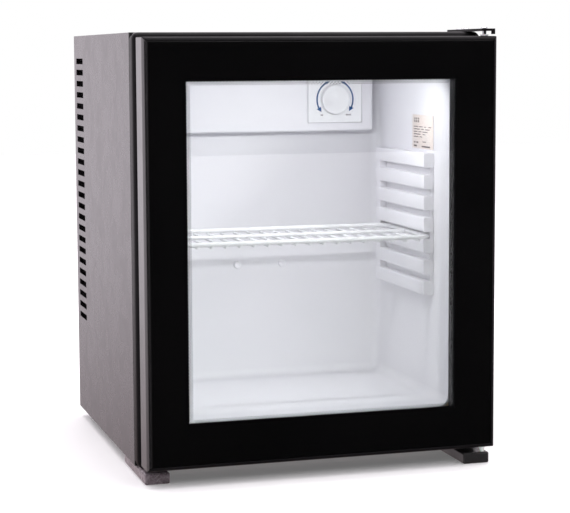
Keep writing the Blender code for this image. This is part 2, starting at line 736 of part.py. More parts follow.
def evaporator(cabinet):
    """The cold plate with the two pipe ends that pass through the rear wall."""
    back = LINER_BACK_Y - GAP
    plate = block("evaporator_plate",
                  (EVAPORATOR_LEFT_X, back - EVAPORATOR_PLATE, EVAPORATOR_LOW_Z),
                  (EVAPORATOR_RIGHT_X, back, EVAPORATOR_HIGH_Z), cabinet, "aluminium")
    length = PIPE_END_Y - GAP - back + EVAPORATOR_PLATE / 2
    for name, x in (("return", RETURN_PIPE_X), ("feed", FEED_PIPE_X)):
        pipe = cylinder(f"evaporator_{name}", (x, back - EVAPORATOR_PLATE / 2, EVAPORATOR_PIPE_Z),
                        "Y", EVAPORATOR_PIPE_RADIUS, length, cabinet)
        join(plate, pipe)
    return plate


def wall_plugs(cabinet):
    for index, side in enumerate((-1, 1)):
        x = PLUG_OFFSET + side * PLUG_SPACING / 2
        profile = [(0, PLUG_HEIGHT), (PLUG_RADIUS * 0.7, PLUG_HEIGHT),
                   (PLUG_RADIUS, PLUG_HEIGHT * 0.4), (PLUG_RADIUS, 0), (0, 0)]
        turned(f"wall_plug_{index + 1}", profile, (x, LINER_BACK_Y - GAP, FLOOR_Z + PLUG_RISE),
               cabinet, "white_liner", turn=(math.pi / 2, 0, 0), steps=16)


def rating_label(cabinet):
    front = BODY_Y + LABEL_FRONT_MARGIN
    top = CEILING_Z - LABEL_CEILING_MARGIN
    return block("rating_label", (LINER_X - GAP - LABEL_SKIN, front, top - LABEL_HEIGHT),
                 (LINER_X - GAP, front + LABEL_LENGTH, top), cabinet, "label_paper")


def wire_shelf(shelf):
    """A closed wire frame with cross wires welded under its front and rear bars."""
    frame_radius = SHELF_FRAME_WIRE / 2
    wire_radius = SHELF_WIRE / 2
    side = LINER_X - GAP - RUNNER_DEPTH + GROOVE_DEPTH - SHELF_SIDE_PLAY - frame_radius
    front = RUNNER_FRONT_Y - frame_radius
    back = GROOVE_BACK_Y - GAP - frame_radius
    z = SHELF_GROOVE_Z + GAP + frame_radius
    frame = shelf_frame(side, front, back, z, frame_radius, shelf)
    clear_side = LINER_X - GAP - RUNNER_DEPTH - SHELF_SIDE_PLAY - wire_radius
    count = 2 * int(clear_side / SHELF_WIRE_PITCH) + 1
    drop = frame_radius + wire_radius - WELD_DEPTH
    bm = bmesh.new()
    for index in range(count):
        x = (index - (count - 1) / 2) * SHELF_WIRE_PITCH
        rod(bm, (x, front - frame_radius * 0.6, z - drop), "Y", wire_radius,
            back - front + frame_radius * 1.2, sides=8)
    rod(bm, (-side, (front + back) / 2, z), "X", frame_radius * 0.8, 2 * side, sides=12)
    wires = place("shelf_wires", mesh_from(bm, "shelf_wires"), (0, 0, 0), shelf)
    join(frame, wires)
    return frame


def shelf_frame(side, front, back, z, radius, shelf):
    curve = bpy.data.curves.new("wire_shelf", "CURVE")
    curve.dimensions = "3D"
    curve.bevel_depth = radius
    curve.bevel_resolution = 2
    curve.render_resolution_u = 0
    line = curve.splines.new("POLY")
    line.use_cyclic_u = True
    points = []
    for sign_x, sign_y, first in ((1, 1, 0), (-1, 1, 90), (-1, -1, 180), (1, -1, 270)):
        x = sign_x * (side - SHELF_CORNER)
        y = (back - SHELF_CORNER) if sign_y > 0 else (front + SHELF_CORNER)
        for step in range(5):
            angle = math.radians(first + step * 22.5)
            points.append((x + SHELF_CORNER * math.cos(angle),
                           y + SHELF_CORNER * math.sin(angle), z, 1))
    line.points.add(len(points) - 1)
    for point, spot in zip(line.points, points):
        point.co = spot
    guide = bpy.data.objects.new("wire_shelf_guide", curve)
    bpy.context.scene.collection.objects.link(guide)
    depsgraph = bpy.context.evaluated_depsgraph_get()
    mesh = bpy.data.meshes.new_from_object(guide.evaluated_get(depsgraph))
    bpy.data.objects.remove(guide, do_unlink=True)
    return place("wire_shelf", mesh, (0, 0, 0), shelf, "white_coating")


# Door

def door_profile(name, length, reach, turn, door):
    """A mitred bar with a rounded front rim and a rebate that the front glass sits in.

    It is drawn standing, with its outer face at local -X, and turned into place.
    """
    rebate = GLASS + PRINT + 2 * GAP
    arc = [math.radians(90 * i / 4) for i in range(5)]
    outline = [(0, DOOR_DEPTH)]
    outline += [(RIM - RIM * math.cos(a), RIM - RIM * math.sin(a)) for a in arc]
    outline += [(RIM, rebate), (PROFILE_WIDTH, rebate), (PROFILE_WIDTH, DOOR_DEPTH)]
    bm = bmesh.new()
    low = [bm.verts.new((x - reach, y, x + GAP - length / 2)) for x, y in outline]
    face = bm.faces.new(low)
    top = bmesh.ops.extrude_face_region(bm, geom=[face])["geom"]
    for vert in [item for item in top if isinstance(item, bmesh.types.BMVert)]:
        vert.co.z = -vert.co.z
    mesh = mesh_from(bm, name)
    centre = (0, GLASS_Y, DOOR_MIDDLE_Z)
    return place(name, mesh, centre, door, "black_frame", turn=(0, turn, 0))


def door_profiles(door):
    tall = DOOR_HEIGHT
    wide = CABINET_WIDTH
    left = door_profile("door_profile_left", tall, wide / 2, 0, door)
    right = door_profile("door_profile_right", tall, wide / 2, math.pi, door)
    top = door_profile("door_profile_top", wide, tall / 2, math.pi / 2, door)
    bottom = door_profile("door_profile_bottom", wide, tall / 2, -math.pi / 2, door)
    depth = BUSH_DEPTH + GAP
    upper = cylinder("upper_bush_hole", (HINGE_X, HINGE_Y, DOOR_TOP_Z - depth), "Z",
                     BUSH_RADIUS + GAP, 2 * depth, door)
    lower = cylinder("lower_bush_hole", (HINGE_X, HINGE_Y, DOOR_BOTTOM_Z - depth), "Z",
                     BUSH_RADIUS + GAP, 2 * depth, door)
    for bar, hole in ((right, upper), (top, upper), (right, lower), (bottom, lower)):
        cut(bar, hole)
    return left


def glass_limits():
    return door_rectangle(RIM + GAP)


def window_limits():
    left, right, bottom, top = door_rectangle(0)
    return (left + WINDOW_LATCH_MARGIN, right - WINDOW_HINGE_MARGIN,
            bottom + WINDOW_BOTTOM_MARGIN, top - WINDOW_TOP_MARGIN)


def door_glazing(door):
    left, right, bottom, top = glass_limits()
    block("door_glass_outer", (left, GLASS_Y, bottom), (right, GLASS_Y + GLASS, top),
          door, "clear_glass")
    print_y = GLASS_Y + GLASS + GAP
    frame_ring("door_print_mask", glass_limits(), window_limits(), print_y, print_y + PRINT,
               door, "black_print")
    spacer_y = print_y + PRINT + GAP
    spacer = door_rectangle(PROFILE_WIDTH + GAP)
    frame_ring("glass_spacer", spacer, door_rectangle(PROFILE_WIDTH + GAP + SPACER_WIDTH),
               spacer_y, spacer_y + PANE_SPACE, door, "aluminium")
    inner_y = spacer_y + PANE_SPACE + GAP
    block("door_glass_inner", (spacer[0], inner_y, spacer[2]),
          (spacer[1], inner_y + GLASS, spacer[3]), door, "clear_glass")
    door_inner_frame(inner_y + GLASS + GAP, spacer, door)


def door_inner_frame(lip_y, spacer, door):
    """The black trim that clamps the inner pane and carries the gasket."""
    back = DOOR_BACK_Y + GAP + TRIM_DEPTH
    inner = door_rectangle(TRIM_INSET + TRIM_WIDTH)
    trim = frame_ring("door_inner_frame", door_rectangle(TRIM_INSET), inner,
                      DOOR_BACK_Y + GAP, back, door, "black_plastic")
    lip = frame_ring("inner_frame_lip", spacer, inner, lip_y, back - TRIM_DEPTH / 2, door)
    join(trim, lip)
    x = inner[1] + TRIM_WIDTH * 0.15
    for index, rise in enumerate(TRIM_SCREW_RISES):
        screw(f"inner_frame_screw_{index + 1}", TRIM_SCREW_RADIUS, TRIM_SCREW_HEIGHT,
              TRIM_SCREW_RADIUS * 0.5, TRIM_SCREW_HEIGHT, (x, back + GAP, DOOR_BOTTOM_Z + rise),
              door, turn=(-math.pi / 2, 0, 0))
        hole = cylinder(f"inner_frame_screw_hole_{index + 1}",
                        (x, back - TRIM_SCREW_HEIGHT - GAP, DOOR_BOTTOM_Z + rise), "Y",
                        TRIM_SCREW_RADIUS * 0.5 + GAP, 2 * TRIM_SCREW_HEIGHT, door, sides=12)
        cut(trim, hole)
    return trim


def door_gasket(door):
    low_y = DOOR_BACK_Y + 2 * GAP + TRIM_DEPTH
    high_y = FRAME_Y - GAP
    gasket = frame_ring("door_gasket", door_rectangle(GASKET_INSET),
                        door_rectangle(GASKET_INSET + GASKET_WIDTH), low_y, high_y,
                        door, "rubber", bevel=GAP)
    edge = GASKET_INSET + (GASKET_WIDTH - MAGNET_WIDTH) / 2
    channel = frame_ring("gasket_channel", door_rectangle(edge - GAP),
                         door_rectangle(edge + MAGNET_WIDTH + GAP),
                         low_y - MAGNET_DEPTH, low_y + MAGNET_DEPTH + GAP, door)
    cut(gasket, channel)
    frame_ring("gasket_magnet", door_rectangle(edge), door_rectangle(edge + MAGNET_WIDTH),
               low_y, low_y + MAGNET_DEPTH, door, "magnet")
    return gasket


# Hinges and feet

def hinge_bush(name, face_z, away, door):
    """A flanged nylon bush in the door's edge; away is +1 where its flange points up."""
    inside = PIN_RADIUS + GAP
    profile = [(inside, BUSH_FLANGE), (BUSH_FLANGE_RADIUS, BUSH_FLANGE),
               (BUSH_FLANGE_RADIUS, 0), (BUSH_RADIUS, 0), (BUSH_RADIUS, -BUSH_DEPTH),
               (inside, -BUSH_DEPTH), (inside, BUSH_FLANGE)]
    turn = (0, 0, 0) if away > 0 else (math.pi, 0, 0)
    bush = turned(name, profile, (HINGE_X, HINGE_Y, face_z + away * GAP), door,
                  "white_nylon", turn, steps=20)
    return bush


def lower_bush(door):
    """The lower bush tapers down to the foot, so its body is longer below the door."""
    inside = PIN_RADIUS + GAP
    drop = DOOR_BOTTOM_Z - FOOT_HEIGHT - GAP
    foot_radius = BUSH_FLANGE_RADIUS * 0.66
    profile = [(inside, BUSH_DEPTH), (BUSH_RADIUS, BUSH_DEPTH), (BUSH_RADIUS, -GAP),
               (BUSH_FLANGE_RADIUS, -GAP), (BUSH_FLANGE_RADIUS, -GAP - BUSH_FLANGE),
               (foot_radius, -drop + BUSH_FLANGE), (foot_radius, -drop),
               (inside, -drop), (inside, BUSH_DEPTH)]
    return turned("lower_hinge_bush", profile, (HINGE_X, HINGE_Y, DOOR_BOTTOM_Z), door,
                  "white_nylon", steps=20)


HINGE_PLATE_X = HALF_WIDTH - HINGE_PLATE_WIDTH / 2


def upper_hinge_plate(cabinet):
    """A flat steel arm on the cabinet top that reaches over the door's corner."""
    left = HALF_WIDTH - HINGE_PLATE_WIDTH
    front = GLASS_Y + HINGE_PLATE_FRONT_MARGIN
    plate = block("upper_hinge_plate", (left, front, HINGE_PLATE_Z),
                  (HALF_WIDTH, front + HINGE_PLATE_LENGTH, HINGE_PLATE_Z + HINGE_PLATE),
                  cabinet, "black_frame")
    tab = block("hinge_stop_tab", (HALF_WIDTH - SHEET * 1.5, front,
                                   HINGE_PLATE_Z - STOP_TAB_DROP),
                (HALF_WIDTH, front + STOP_TAB_DEPTH, HINGE_PLATE_Z + HINGE_PLATE / 2), cabinet)
    join(plate, tab)
    pin_hole = cylinder("upper_pin_hole", (HINGE_X, HINGE_Y, HINGE_PLATE_Z - HINGE_PLATE), "Z",
                        PIN_RADIUS + GAP, 3 * HINGE_PLATE, cabinet)
    cut(plate, pin_hole)
    for index, setback in enumerate(HINGE_SCREW_SETBACKS):
        seat = (HINGE_PLATE_X, GLASS_Y + setback, HINGE_PLATE_Z + HINGE_PLATE + GAP)
        shank = HINGE_PLATE + 2 * GAP + SHEET
        screw(f"hinge_plate_screw_{index + 1}", HINGE_SCREW_RADIUS, HINGE_SCREW_HEAD,
              HINGE_SCREW_SHANK, shank, seat, cabinet, turn=(0, 0, 0))
        hole = cylinder(f"hinge_plate_hole_{index + 1}",
                        (seat[0], seat[1], HINGE_PLATE_Z - HINGE_PLATE), "Z",
                        HINGE_SCREW_SHANK + GAP, 3 * HINGE_PLATE, cabinet, sides=12)
        cut(plate, hole)
    return plate


def hinge_pins(cabinet):
    top = HINGE_PLATE_Z + HINGE_PLATE
    low = DOOR_TOP_Z - PIN_REACH
    profile = [(0, HINGE_SCREW_HEAD), (PIN_RADIUS * 1.4, HINGE_SCREW_HEAD),
               (PIN_RADIUS * 1.7, HINGE_SCREW_HEAD / 2), (PIN_RADIUS * 1.7, GAP),
               (PIN_RADIUS, GAP), (PIN_RADIUS, low - top), (0, low - top)]
    turned("upper_hinge_pin", profile, (HINGE_X, HINGE_Y, top), cabinet, "bright_steel", steps=16)
    foot_hole = FOOT_HEIGHT / 2
    cylinder("lower_hinge_pin", (HINGE_X, HINGE_Y, foot_hole + GAP), "Z", PIN_RADIUS,
             DOOR_BOTTOM_Z + PIN_REACH - foot_hole - GAP, cabinet, "bright_steel")


def front_foot(name, low_x, high_x, front_y, cabinet):
    """A moulded block under the cabinet that reaches forward under the door."""
    return block(name, (low_x, front_y, 0), (high_x, BODY_Y + FOOT_REAR_REACH, FOOT_HEIGHT),
                 cabinet, "black_plastic", FOOT_BEVEL, segments=1)


def feet(cabinet):
    outer = HALF_WIDTH - FOOT_SIDE_INSET
    front_foot("front_foot_left", -outer, -outer + LATCH_FOOT_WIDTH,
               BODY_Y - LATCH_FOOT_REACH, cabinet)
    right = front_foot("front_foot_right", outer - HINGE_FOOT_WIDTH, outer,
                       HINGE_Y - HINGE_FOOT_MARGIN, cabinet)
    socket = cylinder("lower_pin_socket", (HINGE_X, HINGE_Y, FOOT_HEIGHT / 2), "Z",
                      PIN_RADIUS + GAP, FOOT_HEIGHT, cabinet)
    cut(right, socket)
    profile = [(0, FOOT_HEIGHT), (REAR_FOOT_RADIUS, FOOT_HEIGHT),
               (REAR_FOOT_RADIUS, FOOT_BEVEL), (REAR_FOOT_RADIUS - FOOT_BEVEL, 0), (0, 0)]
    for name, side in (("rear_foot_left", -1), ("rear_foot_right", 1)):
        x = side * (HALF_WIDTH - REAR_FOOT_SIDE_INSET)
        turned(name, profile, (x, FOAM_END_Y - REAR_FOOT_SETBACK, 0), cabinet,
               "black_plastic", steps=20)


# Cooling unit

def brackets(cabinet):
    side = HALF_WIDTH - BRACKET_SIDE_MARGIN
    y = MACHINE_Y + GAP
    for name, z in (("unit_bracket_lower", BASE_Z + LOWER_BRACKET_RISE),
                    ("unit_bracket_upper", CONDENSER_Z)):
        block(name, (-side, y, z - BRACKET_HEIGHT / 2),
              (side, y + BRACKET_DEPTH, z + BRACKET_HEIGHT / 2), cabinet, "galvanised_steel")


def boiler(cabinet):
    """An insulated can with a blind bore for the heater at its lower end."""
    y = MACHINE_Y + BRACKET_DEPTH + 2 * GAP + BOILER_RADIUS
    bottom = BASE_Z + BOILER_RISE
    chamfer = HEATER_RADIUS / 2
    bore = HEATER_RADIUS + GAP
    bore_top = HEATER_LENGTH + GAP
    profile = [(0, BOILER_LENGTH), (BOILER_RADIUS - chamfer, BOILER_LENGTH),
               (BOILER_RADIUS, BOILER_LENGTH - chamfer), (BOILER_RADIUS, chamfer),
               (BOILER_RADIUS - chamfer, 0), (bore, 0), (bore, bore_top), (0, bore_top)]
    turned("boiler_can", profile, (BOILER_X, y, bottom), cabinet, "galvanised_steel", steps=28)
    cylinder("heater_cartridge", (BOILER_X, y, bottom - HEATER_STUB), "Z", HEATER_RADIUS,
             HEATER_LENGTH + HEATER_STUB, cabinet, "bright_steel")
    return bottom + BOILER_LENGTH


def absorber(cabinet):
    """The lying vessel and the serpentine coil that stands on it."""
    z = BASE_Z + LOWER_BRACKET_RISE
    half = VESSEL_LENGTH / 2
    dome = VESSEL_RADIUS / 2
    profile = [(0, half), (VESSEL_RADIUS * 0.7, half - dome * 0.2), (VESSEL_RADIUS, half - dome),
               (VESSEL_RADIUS, dome - half), (VESSEL_RADIUS * 0.7, dome * 0.2 - half), (0, -half)]
    turned("absorber_vessel", profile, (VESSEL_X, PIPE_Y, z), cabinet, "black_pipe",
           turn=(0, math.pi / 2, 0), steps=24)
    tube("absorber_coil", coil_path(z + VESSEL_RADIUS + GAP), PIPE_RADIUS, cabinet, "black_pipe")


def coil_path(start_z):
    """Straight runs joined by half-circle bends, rising from the vessel to the return pipe."""
    bend = COIL_PITCH / 2
    low_x = VESSEL_X - COIL_RUN / 2
    high_x = VESSEL_X + COIL_RUN / 2
    base = start_z + 2 * bend
    path = [(low_x, PIPE_Y, start_z)]
    path += [(low_x + bend - bend * math.cos(a), PIPE_Y, base - bend + bend * math.sin(a))
             for a in quarter()]
    for run in range(COIL_RUNS):
        z = base + run * COIL_PITCH
        end_x, sign = (high_x, 1) if run % 2 == 0 else (low_x, -1)
        last = run == COIL_RUNS - 1
        if not last:
            for step in range(7):
                angle = math.radians(-90 + step * 30)
                path.append((end_x + sign * bend * math.cos(angle), PIPE_Y,
                             z + bend + bend * math.sin(angle)))
    z = base + (COIL_RUNS - 1) * COIL_PITCH
    turn_x = FEED_PIPE_X
    path += [(turn_x - bend + bend * math.sin(a), PIPE_Y, z + bend - bend * math.cos(a))
             for a in quarter()]
    path += [(turn_x, PIPE_Y - bend + bend * math.cos(a),
              EVAPORATOR_PIPE_Z - bend + bend * math.sin(a)) for a in quarter()]
    path.append((turn_x, PIPE_END_Y, EVAPORATOR_PIPE_Z))
    return path


def quarter():
    return [math.radians(90 * step / 3) for step in range(4)]


def condenser(boiler_top, cabinet):
    """A finned pipe, fed from the boiler and draining to the evaporator."""
    y = MACHINE_Y + BRACKET_DEPTH + 2 * GAP + FIN_SIZE / 2
    left = CONDENSER_X - CONDENSER_LENGTH / 2
    pipe = cylinder("condenser", (left, y, CONDENSER_Z), "X", PIPE_RADIUS, CONDENSER_LENGTH,
                    cabinet, "black_pipe", sides=12)
    bm = bmesh.new()
    fin_span = CONDENSER_LENGTH - 2 * PIPE_RADIUS
    for index in range(FIN_COUNT):
        x = left + PIPE_RADIUS + fin_span * index / (FIN_COUNT - 1)
        cuboid(bm, (x - FIN_THICKNESS / 2, y - FIN_SIZE / 2, CONDENSER_Z - FIN_SIZE / 2),
               (x + FIN_THICKNESS / 2, y + FIN_SIZE / 2, CONDENSER_Z + FIN_SIZE / 2))
    fins = place("condenser_fins", mesh_from(bm, "condenser_fins"), (0, 0, 0), cabinet)
    join(pipe, fins)
    rise = [(BOILER_X, y, boiler_top + GAP), (BOILER_X, y, CONDENSER_Z),
            (left + CONDENSER_LENGTH + GAP, y, CONDENSER_Z)]
    tube("vapour_pipe", rounded_path(rise, THIN_PIPE_BEND), THIN_PIPE_RADIUS, cabinet,
         "black_pipe")
    outer = left - 2 * THIN_PIPE_BEND
    fall = [(left - GAP, y, CONDENSER_Z), (outer, y, CONDENSER_Z), (outer, y, EVAPORATOR_PIPE_Z),
            (RETURN_PIPE_X, y, EVAPORATOR_PIPE_Z), (RETURN_PIPE_X, PIPE_END_Y, EVAPORATOR_PIPE_Z)]
    tube("liquid_pipe", rounded_path(fall, THIN_PIPE_BEND), THIN_PIPE_RADIUS, cabinet,
         "black_pipe")


def terminal_box_limits():
    low = (TERMINAL_X - TERMINAL_WIDTH / 2, REAR_Y - TERMINAL_DEPTH, BASE_Z + BOILER_RISE)
    high = (TERMINAL_X + TERMINAL_WIDTH / 2, REAR_Y, low[2] + TERMINAL_HEIGHT)
    return low, high


def terminal_box(cabinet):
    """The wiring box with its mains inlet, level with the rear cover."""
    low, high = terminal_box_limits()
    box = block("terminal_box", low, high, cabinet, "black_plastic")
    x = (low[0] + high[0]) / 2
    z = (low[2] + high[2]) / 2
    socket = block("inlet_socket", (x - INLET_WIDTH / 2, REAR_Y - INLET_DEPTH, z - INLET_HEIGHT / 2),
                   (x + INLET_WIDTH / 2, REAR_Y + INLET_DEPTH, z + INLET_HEIGHT / 2), cabinet)
    cut(box, socket)
    return box


def build():
    clear_scene()
    add_collection(PARTS)
    add_collection(CUTTERS).hide_render = True
    for name in FINISHES:
        add_finish(name)
    cabinet = add_body("cabinet", (0, 0, 0))
    door = add_body("door_hinge_axis", (HINGE_X, HINGE_Y, DOOR_MIDDLE_Z))
    knob = add_body("knob_axis", (KNOB_X, DIAL_PLATE_Y, KNOB_Z))
    shelf = add_body("shelf_slide", (0, 0, 0))

    side_panel("side_panel_left", -1, cabinet)
    side_panel("side_panel_right", 1, cabinet)
    top_panel(cabinet)
    base_panel(cabinet)
    front_frame(cabinet)
    foam_insulation(cabinet)
    foam_back_plate(cabinet)
    liner(cabinet)
    rear_cover(cabinet)
    rear_cover_screws(cabinet)

    shelf_runner("shelf_runner_left", -1, cabinet)
    shelf_runner("shelf_runner_right", 1, cabinet)
    evaporator_cover(cabinet)
    dial_plate(cabinet)
    thermostat_body(cabinet)
    thermostat_knob(knob)
    evaporator(cabinet)
    wall_plugs(cabinet)
    rating_label(cabinet)
    wire_shelf(shelf)

    door_profiles(door)
    door_glazing(door)
    door_gasket(door)
    hinge_bush("upper_hinge_bush", DOOR_TOP_Z, 1, door)
    lower_bush(door)

    upper_hinge_plate(cabinet)
    hinge_pins(cabinet)
    feet(cabinet)

    brackets(cabinet)
    boiler_top = boiler(cabinet)
    absorber(cabinet)
    condenser(boiler_top, cabinet)
    terminal_box(cabinet)


build()
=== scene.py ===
import math
import json

import bmesh
import bpy
from mathutils import Matrix, Vector


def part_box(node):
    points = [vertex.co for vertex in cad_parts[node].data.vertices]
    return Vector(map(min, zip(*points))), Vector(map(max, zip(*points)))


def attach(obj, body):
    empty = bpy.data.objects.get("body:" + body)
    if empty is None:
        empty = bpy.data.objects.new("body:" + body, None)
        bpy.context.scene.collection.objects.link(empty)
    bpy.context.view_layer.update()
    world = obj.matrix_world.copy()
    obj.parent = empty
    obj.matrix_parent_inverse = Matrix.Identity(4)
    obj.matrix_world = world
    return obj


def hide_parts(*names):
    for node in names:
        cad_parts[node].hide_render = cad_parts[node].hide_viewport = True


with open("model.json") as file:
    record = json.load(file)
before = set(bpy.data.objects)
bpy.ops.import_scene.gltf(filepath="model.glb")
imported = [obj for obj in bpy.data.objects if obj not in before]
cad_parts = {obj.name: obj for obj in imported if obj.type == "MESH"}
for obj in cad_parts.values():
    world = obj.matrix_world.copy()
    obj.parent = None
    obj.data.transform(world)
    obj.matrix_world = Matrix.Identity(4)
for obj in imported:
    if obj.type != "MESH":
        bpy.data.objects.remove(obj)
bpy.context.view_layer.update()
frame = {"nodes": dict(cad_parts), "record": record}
scene = bpy.context.scene
print("frame loaded,", len(frame["nodes"]), "nodes")


# ---- small helpers for node trees ----

def put(tree, kind, links=None, **settings):
    node = tree.nodes.new(kind)
    for key, value in settings.items():
        setattr(node, key, value)
    for socket, value in (links or {}).items():
        if isinstance(value, bpy.types.NodeSocket):
            tree.links.new(value, node.inputs[socket])
        else:
            node.inputs[socket].default_value = value
    return node


def calc(tree, operation, a, b=0.0, clamp=False):
    node = put(tree, "ShaderNodeMath", {0: a, 1: b}, operation=operation, use_clamp=clamp)
    return node.outputs[0]


def ramp(tree, value, low, high, start=0.0, end=1.0):
    links = {"Value": value, "From Min": low, "From Max": high, "To Min": start, "To Max": end}
    return put(tree, "ShaderNodeMapRange", links, interpolation_type="SMOOTHSTEP").outputs[0]


def addSockets(tree, inputs, outputs):
    kinds = {float: "NodeSocketFloat", int: "NodeSocketInt", tuple: "NodeSocketColor"}
    for label, value in inputs.items():
        socket = tree.interface.new_socket(label, in_out="INPUT", socket_type=kinds[type(value)])
        socket.default_value = value
    for label, kind in outputs.items():
        tree.interface.new_socket(label, in_out="OUTPUT", socket_type=kind)


# ---- shader groups shared by the finishes ----

def paintedSkinGroup():
    # colour drift, uneven gloss and a fine orange peel, all on object coordinates
    tree = bpy.data.node_groups.new("paintedSkin", "ShaderNodeTree")
    addSockets(tree, {"Base": (0.5, 0.5, 0.5, 1.0), "Drift": (0.4, 0.4, 0.4, 1.0),
                      "Drift Scale": 9.0, "Drift Amount": 0.5, "Roughness": 0.4,
                      "Roughness Spread": 0.1, "Peel Scale": 900.0, "Speck Amount": 0.1},
               {"Color": "NodeSocketColor", "Roughness": "NodeSocketFloat",
                "Height": "NodeSocketFloat"})
    given = put(tree, "NodeGroupInput").outputs
    place = put(tree, "ShaderNodeTexCoord").outputs["Object"]
    cloud = put(tree, "ShaderNodeTexNoise", {"Vector": place, "Scale": given["Drift Scale"],
                                             "Detail": 5.0, "Roughness": 0.6}).outputs["Fac"]
    peel = put(tree, "ShaderNodeTexNoise", {"Vector": place, "Scale": given["Peel Scale"],
                                            "Detail": 2.0}).outputs["Fac"]
    smear = put(tree, "ShaderNodeTexNoise", {"Vector": place, "Scale": 38.0, "Detail": 6.0,
                                             "Distortion": 0.6}).outputs["Fac"]
    soft = ramp(tree, cloud, 0.3, 0.7)
    share = calc(tree, "MULTIPLY", soft, given["Drift Amount"])
    drifted = put(tree, "ShaderNodeMix", {"Factor": share, 6: given["Base"], 7: given["Drift"]},
                  data_type="RGBA").outputs[2]
    speck = calc(tree, "MULTIPLY", ramp(tree, peel, 0.55, 0.75), given["Speck Amount"])
    lit = put(tree, "ShaderNodeMix", {"Factor": speck, 6: drifted, 7: (0.9, 0.9, 0.92, 1.0)},
              data_type="RGBA").outputs[2]
    swing = calc(tree, "SUBTRACT", ramp(tree, smear, 0.3, 0.75), 0.5)
    rough = calc(tree, "ADD", given["Roughness"],
                 calc(tree, "MULTIPLY", swing, given["Roughness Spread"]), clamp=True)
    put(tree, "NodeGroupOutput", {"Color": lit, "Roughness": rough, "Height": peel})
    return tree


def dustFilmGroup():
    # pale dust that settles on faces that look up
    tree = bpy.data.node_groups.new("dustFilm", "ShaderNodeTree")
    addSockets(tree, {"Color": (0.5, 0.5, 0.5, 1.0), "Roughness": 0.4, "Amount": 0.2,
                      "Patch Scale": 24.0},
               {"Color": "NodeSocketColor", "Roughness": "NodeSocketFloat"})
    given = put(tree, "NodeGroupInput").outputs
    facing = put(tree, "ShaderNodeSeparateXYZ",
                 {0: put(tree, "ShaderNodeNewGeometry").outputs["Normal"]}).outputs["Z"]
    place = put(tree, "ShaderNodeTexCoord").outputs["Object"]
    patch = put(tree, "ShaderNodeTexNoise", {"Vector": place, "Scale": given["Patch Scale"],
                                             "Detail": 8.0}).outputs["Fac"]
    upward = ramp(tree, facing, 0.4, 1.0)
    share = calc(tree, "MULTIPLY", calc(tree, "MULTIPLY", upward, ramp(tree, patch, 0.35, 0.7)),
                 given["Amount"])
    colour = put(tree, "ShaderNodeMix", {"Factor": share, 6: given["Color"],
                                         7: (0.55, 0.53, 0.5, 1.0)}, data_type="RGBA").outputs[2]
    rough = calc(tree, "ADD", given["Roughness"], calc(tree, "MULTIPLY", share, 0.5), clamp=True)
    put(tree, "NodeGroupOutput", {"Color": colour, "Roughness": rough})
    return tree


def rolledGrainGroup():
    # long fine streaks along one axis, as on rolled or drawn metal
    tree = bpy.data.node_groups.new("rolledGrain", "ShaderNodeTree")
    addSockets(tree, {"Scale": 260.0, "Stretch X": 1.0, "Stretch Y": 1.0, "Stretch Z": 0.03,
                      "Roughness": 0.3, "Spread": 0.15},
               {"Streak": "NodeSocketFloat", "Roughness": "NodeSocketFloat"})
    given = put(tree, "NodeGroupInput").outputs
    place = put(tree, "ShaderNodeTexCoord").outputs["Object"]
    stretch = put(tree, "ShaderNodeCombineXYZ", {0: given["Stretch X"], 1: given["Stretch Y"],
                                                 2: given["Stretch Z"]}).outputs[0]
    drawn = put(tree, "ShaderNodeVectorMath", {0: place, 1: stretch},
                operation="MULTIPLY").outputs[0]
    streak = put(tree, "ShaderNodeTexNoise", {"Vector": drawn, "Scale": given["Scale"],
                                              "Detail": 4.0}).outputs["Fac"]
    swing = calc(tree, "SUBTRACT", streak, 0.5)
    rough = calc(tree, "ADD", given["Roughness"],
                 calc(tree, "MULTIPLY", swing, given["Spread"]), clamp=True)
    put(tree, "NodeGroupOutput", {"Streak": streak, "Roughness": rough})
    return tree


groups = {"paintedSkin": paintedSkinGroup(), "dustFilm": dustFilmGroup(),
          "rolledGrain": rolledGrainGroup()}


def callGroup(tree, name, links):
    return put(tree, "ShaderNodeGroup", links, node_tree=groups[name]).outputs


def rgb(colour):
    return (*colour, 1.0)


def startMaterial(name):
    material = bpy.data.materials.new(name)
    material.use_nodes = True
    tree = material.node_tree
    return material, tree, tree.nodes["Principled BSDF"]


def wireSurface(tree, shader, dust, height, strength, distance):
    bump = put(tree, "ShaderNodeBump", {"Height": height, "Strength": strength,
                                        "Distance": distance})
    tree.links.new(dust["Color"], shader.inputs["Base Color"])
    tree.links.new(dust["Roughness"], shader.inputs["Roughness"])
    tree.links.new(bump.outputs[0], shader.inputs["Normal"])


def skinFinish(name, look):
    material, tree, shader = startMaterial(name)
    skin = callGroup(tree, "paintedSkin", {
        "Base": rgb(look["base"]), "Drift": rgb(look["drift"]),
        "Drift Scale": look.get("driftScale", 9.0), "Drift Amount": look.get("driftAmount", 0.6),
        "Roughness": look["rough"], "Roughness Spread": look.get("spread", 0.12),
        "Peel Scale": look.get("peelScale", 900.0), "Speck Amount": look.get("specks", 0.03)})
    dust = callGroup(tree, "dustFilm", {
        "Color": skin["Color"], "Roughness": skin["Roughness"],
        "Amount": look.get("dust", 0.1), "Patch Scale": look.get("dustScale", 24.0)})
    wireSurface(tree, shader, dust, skin["Height"], look.get("peel", 0.08), 0.0004)
    shader.inputs["Metallic"].default_value = look.get("metal", 0.0)
    shader.inputs["IOR"].default_value = look.get("ior", 1.5)
    shader.inputs["Coat Weight"].default_value = look.get("coat", 0.0)
    shader.inputs["Coat Roughness"].default_value = look.get("coatRough", 0.05)
    if "subsurface" in look:
        shader.inputs["Subsurface Weight"].default_value = look["subsurface"]
        shader.inputs["Subsurface Scale"].default_value = 0.004
    return material


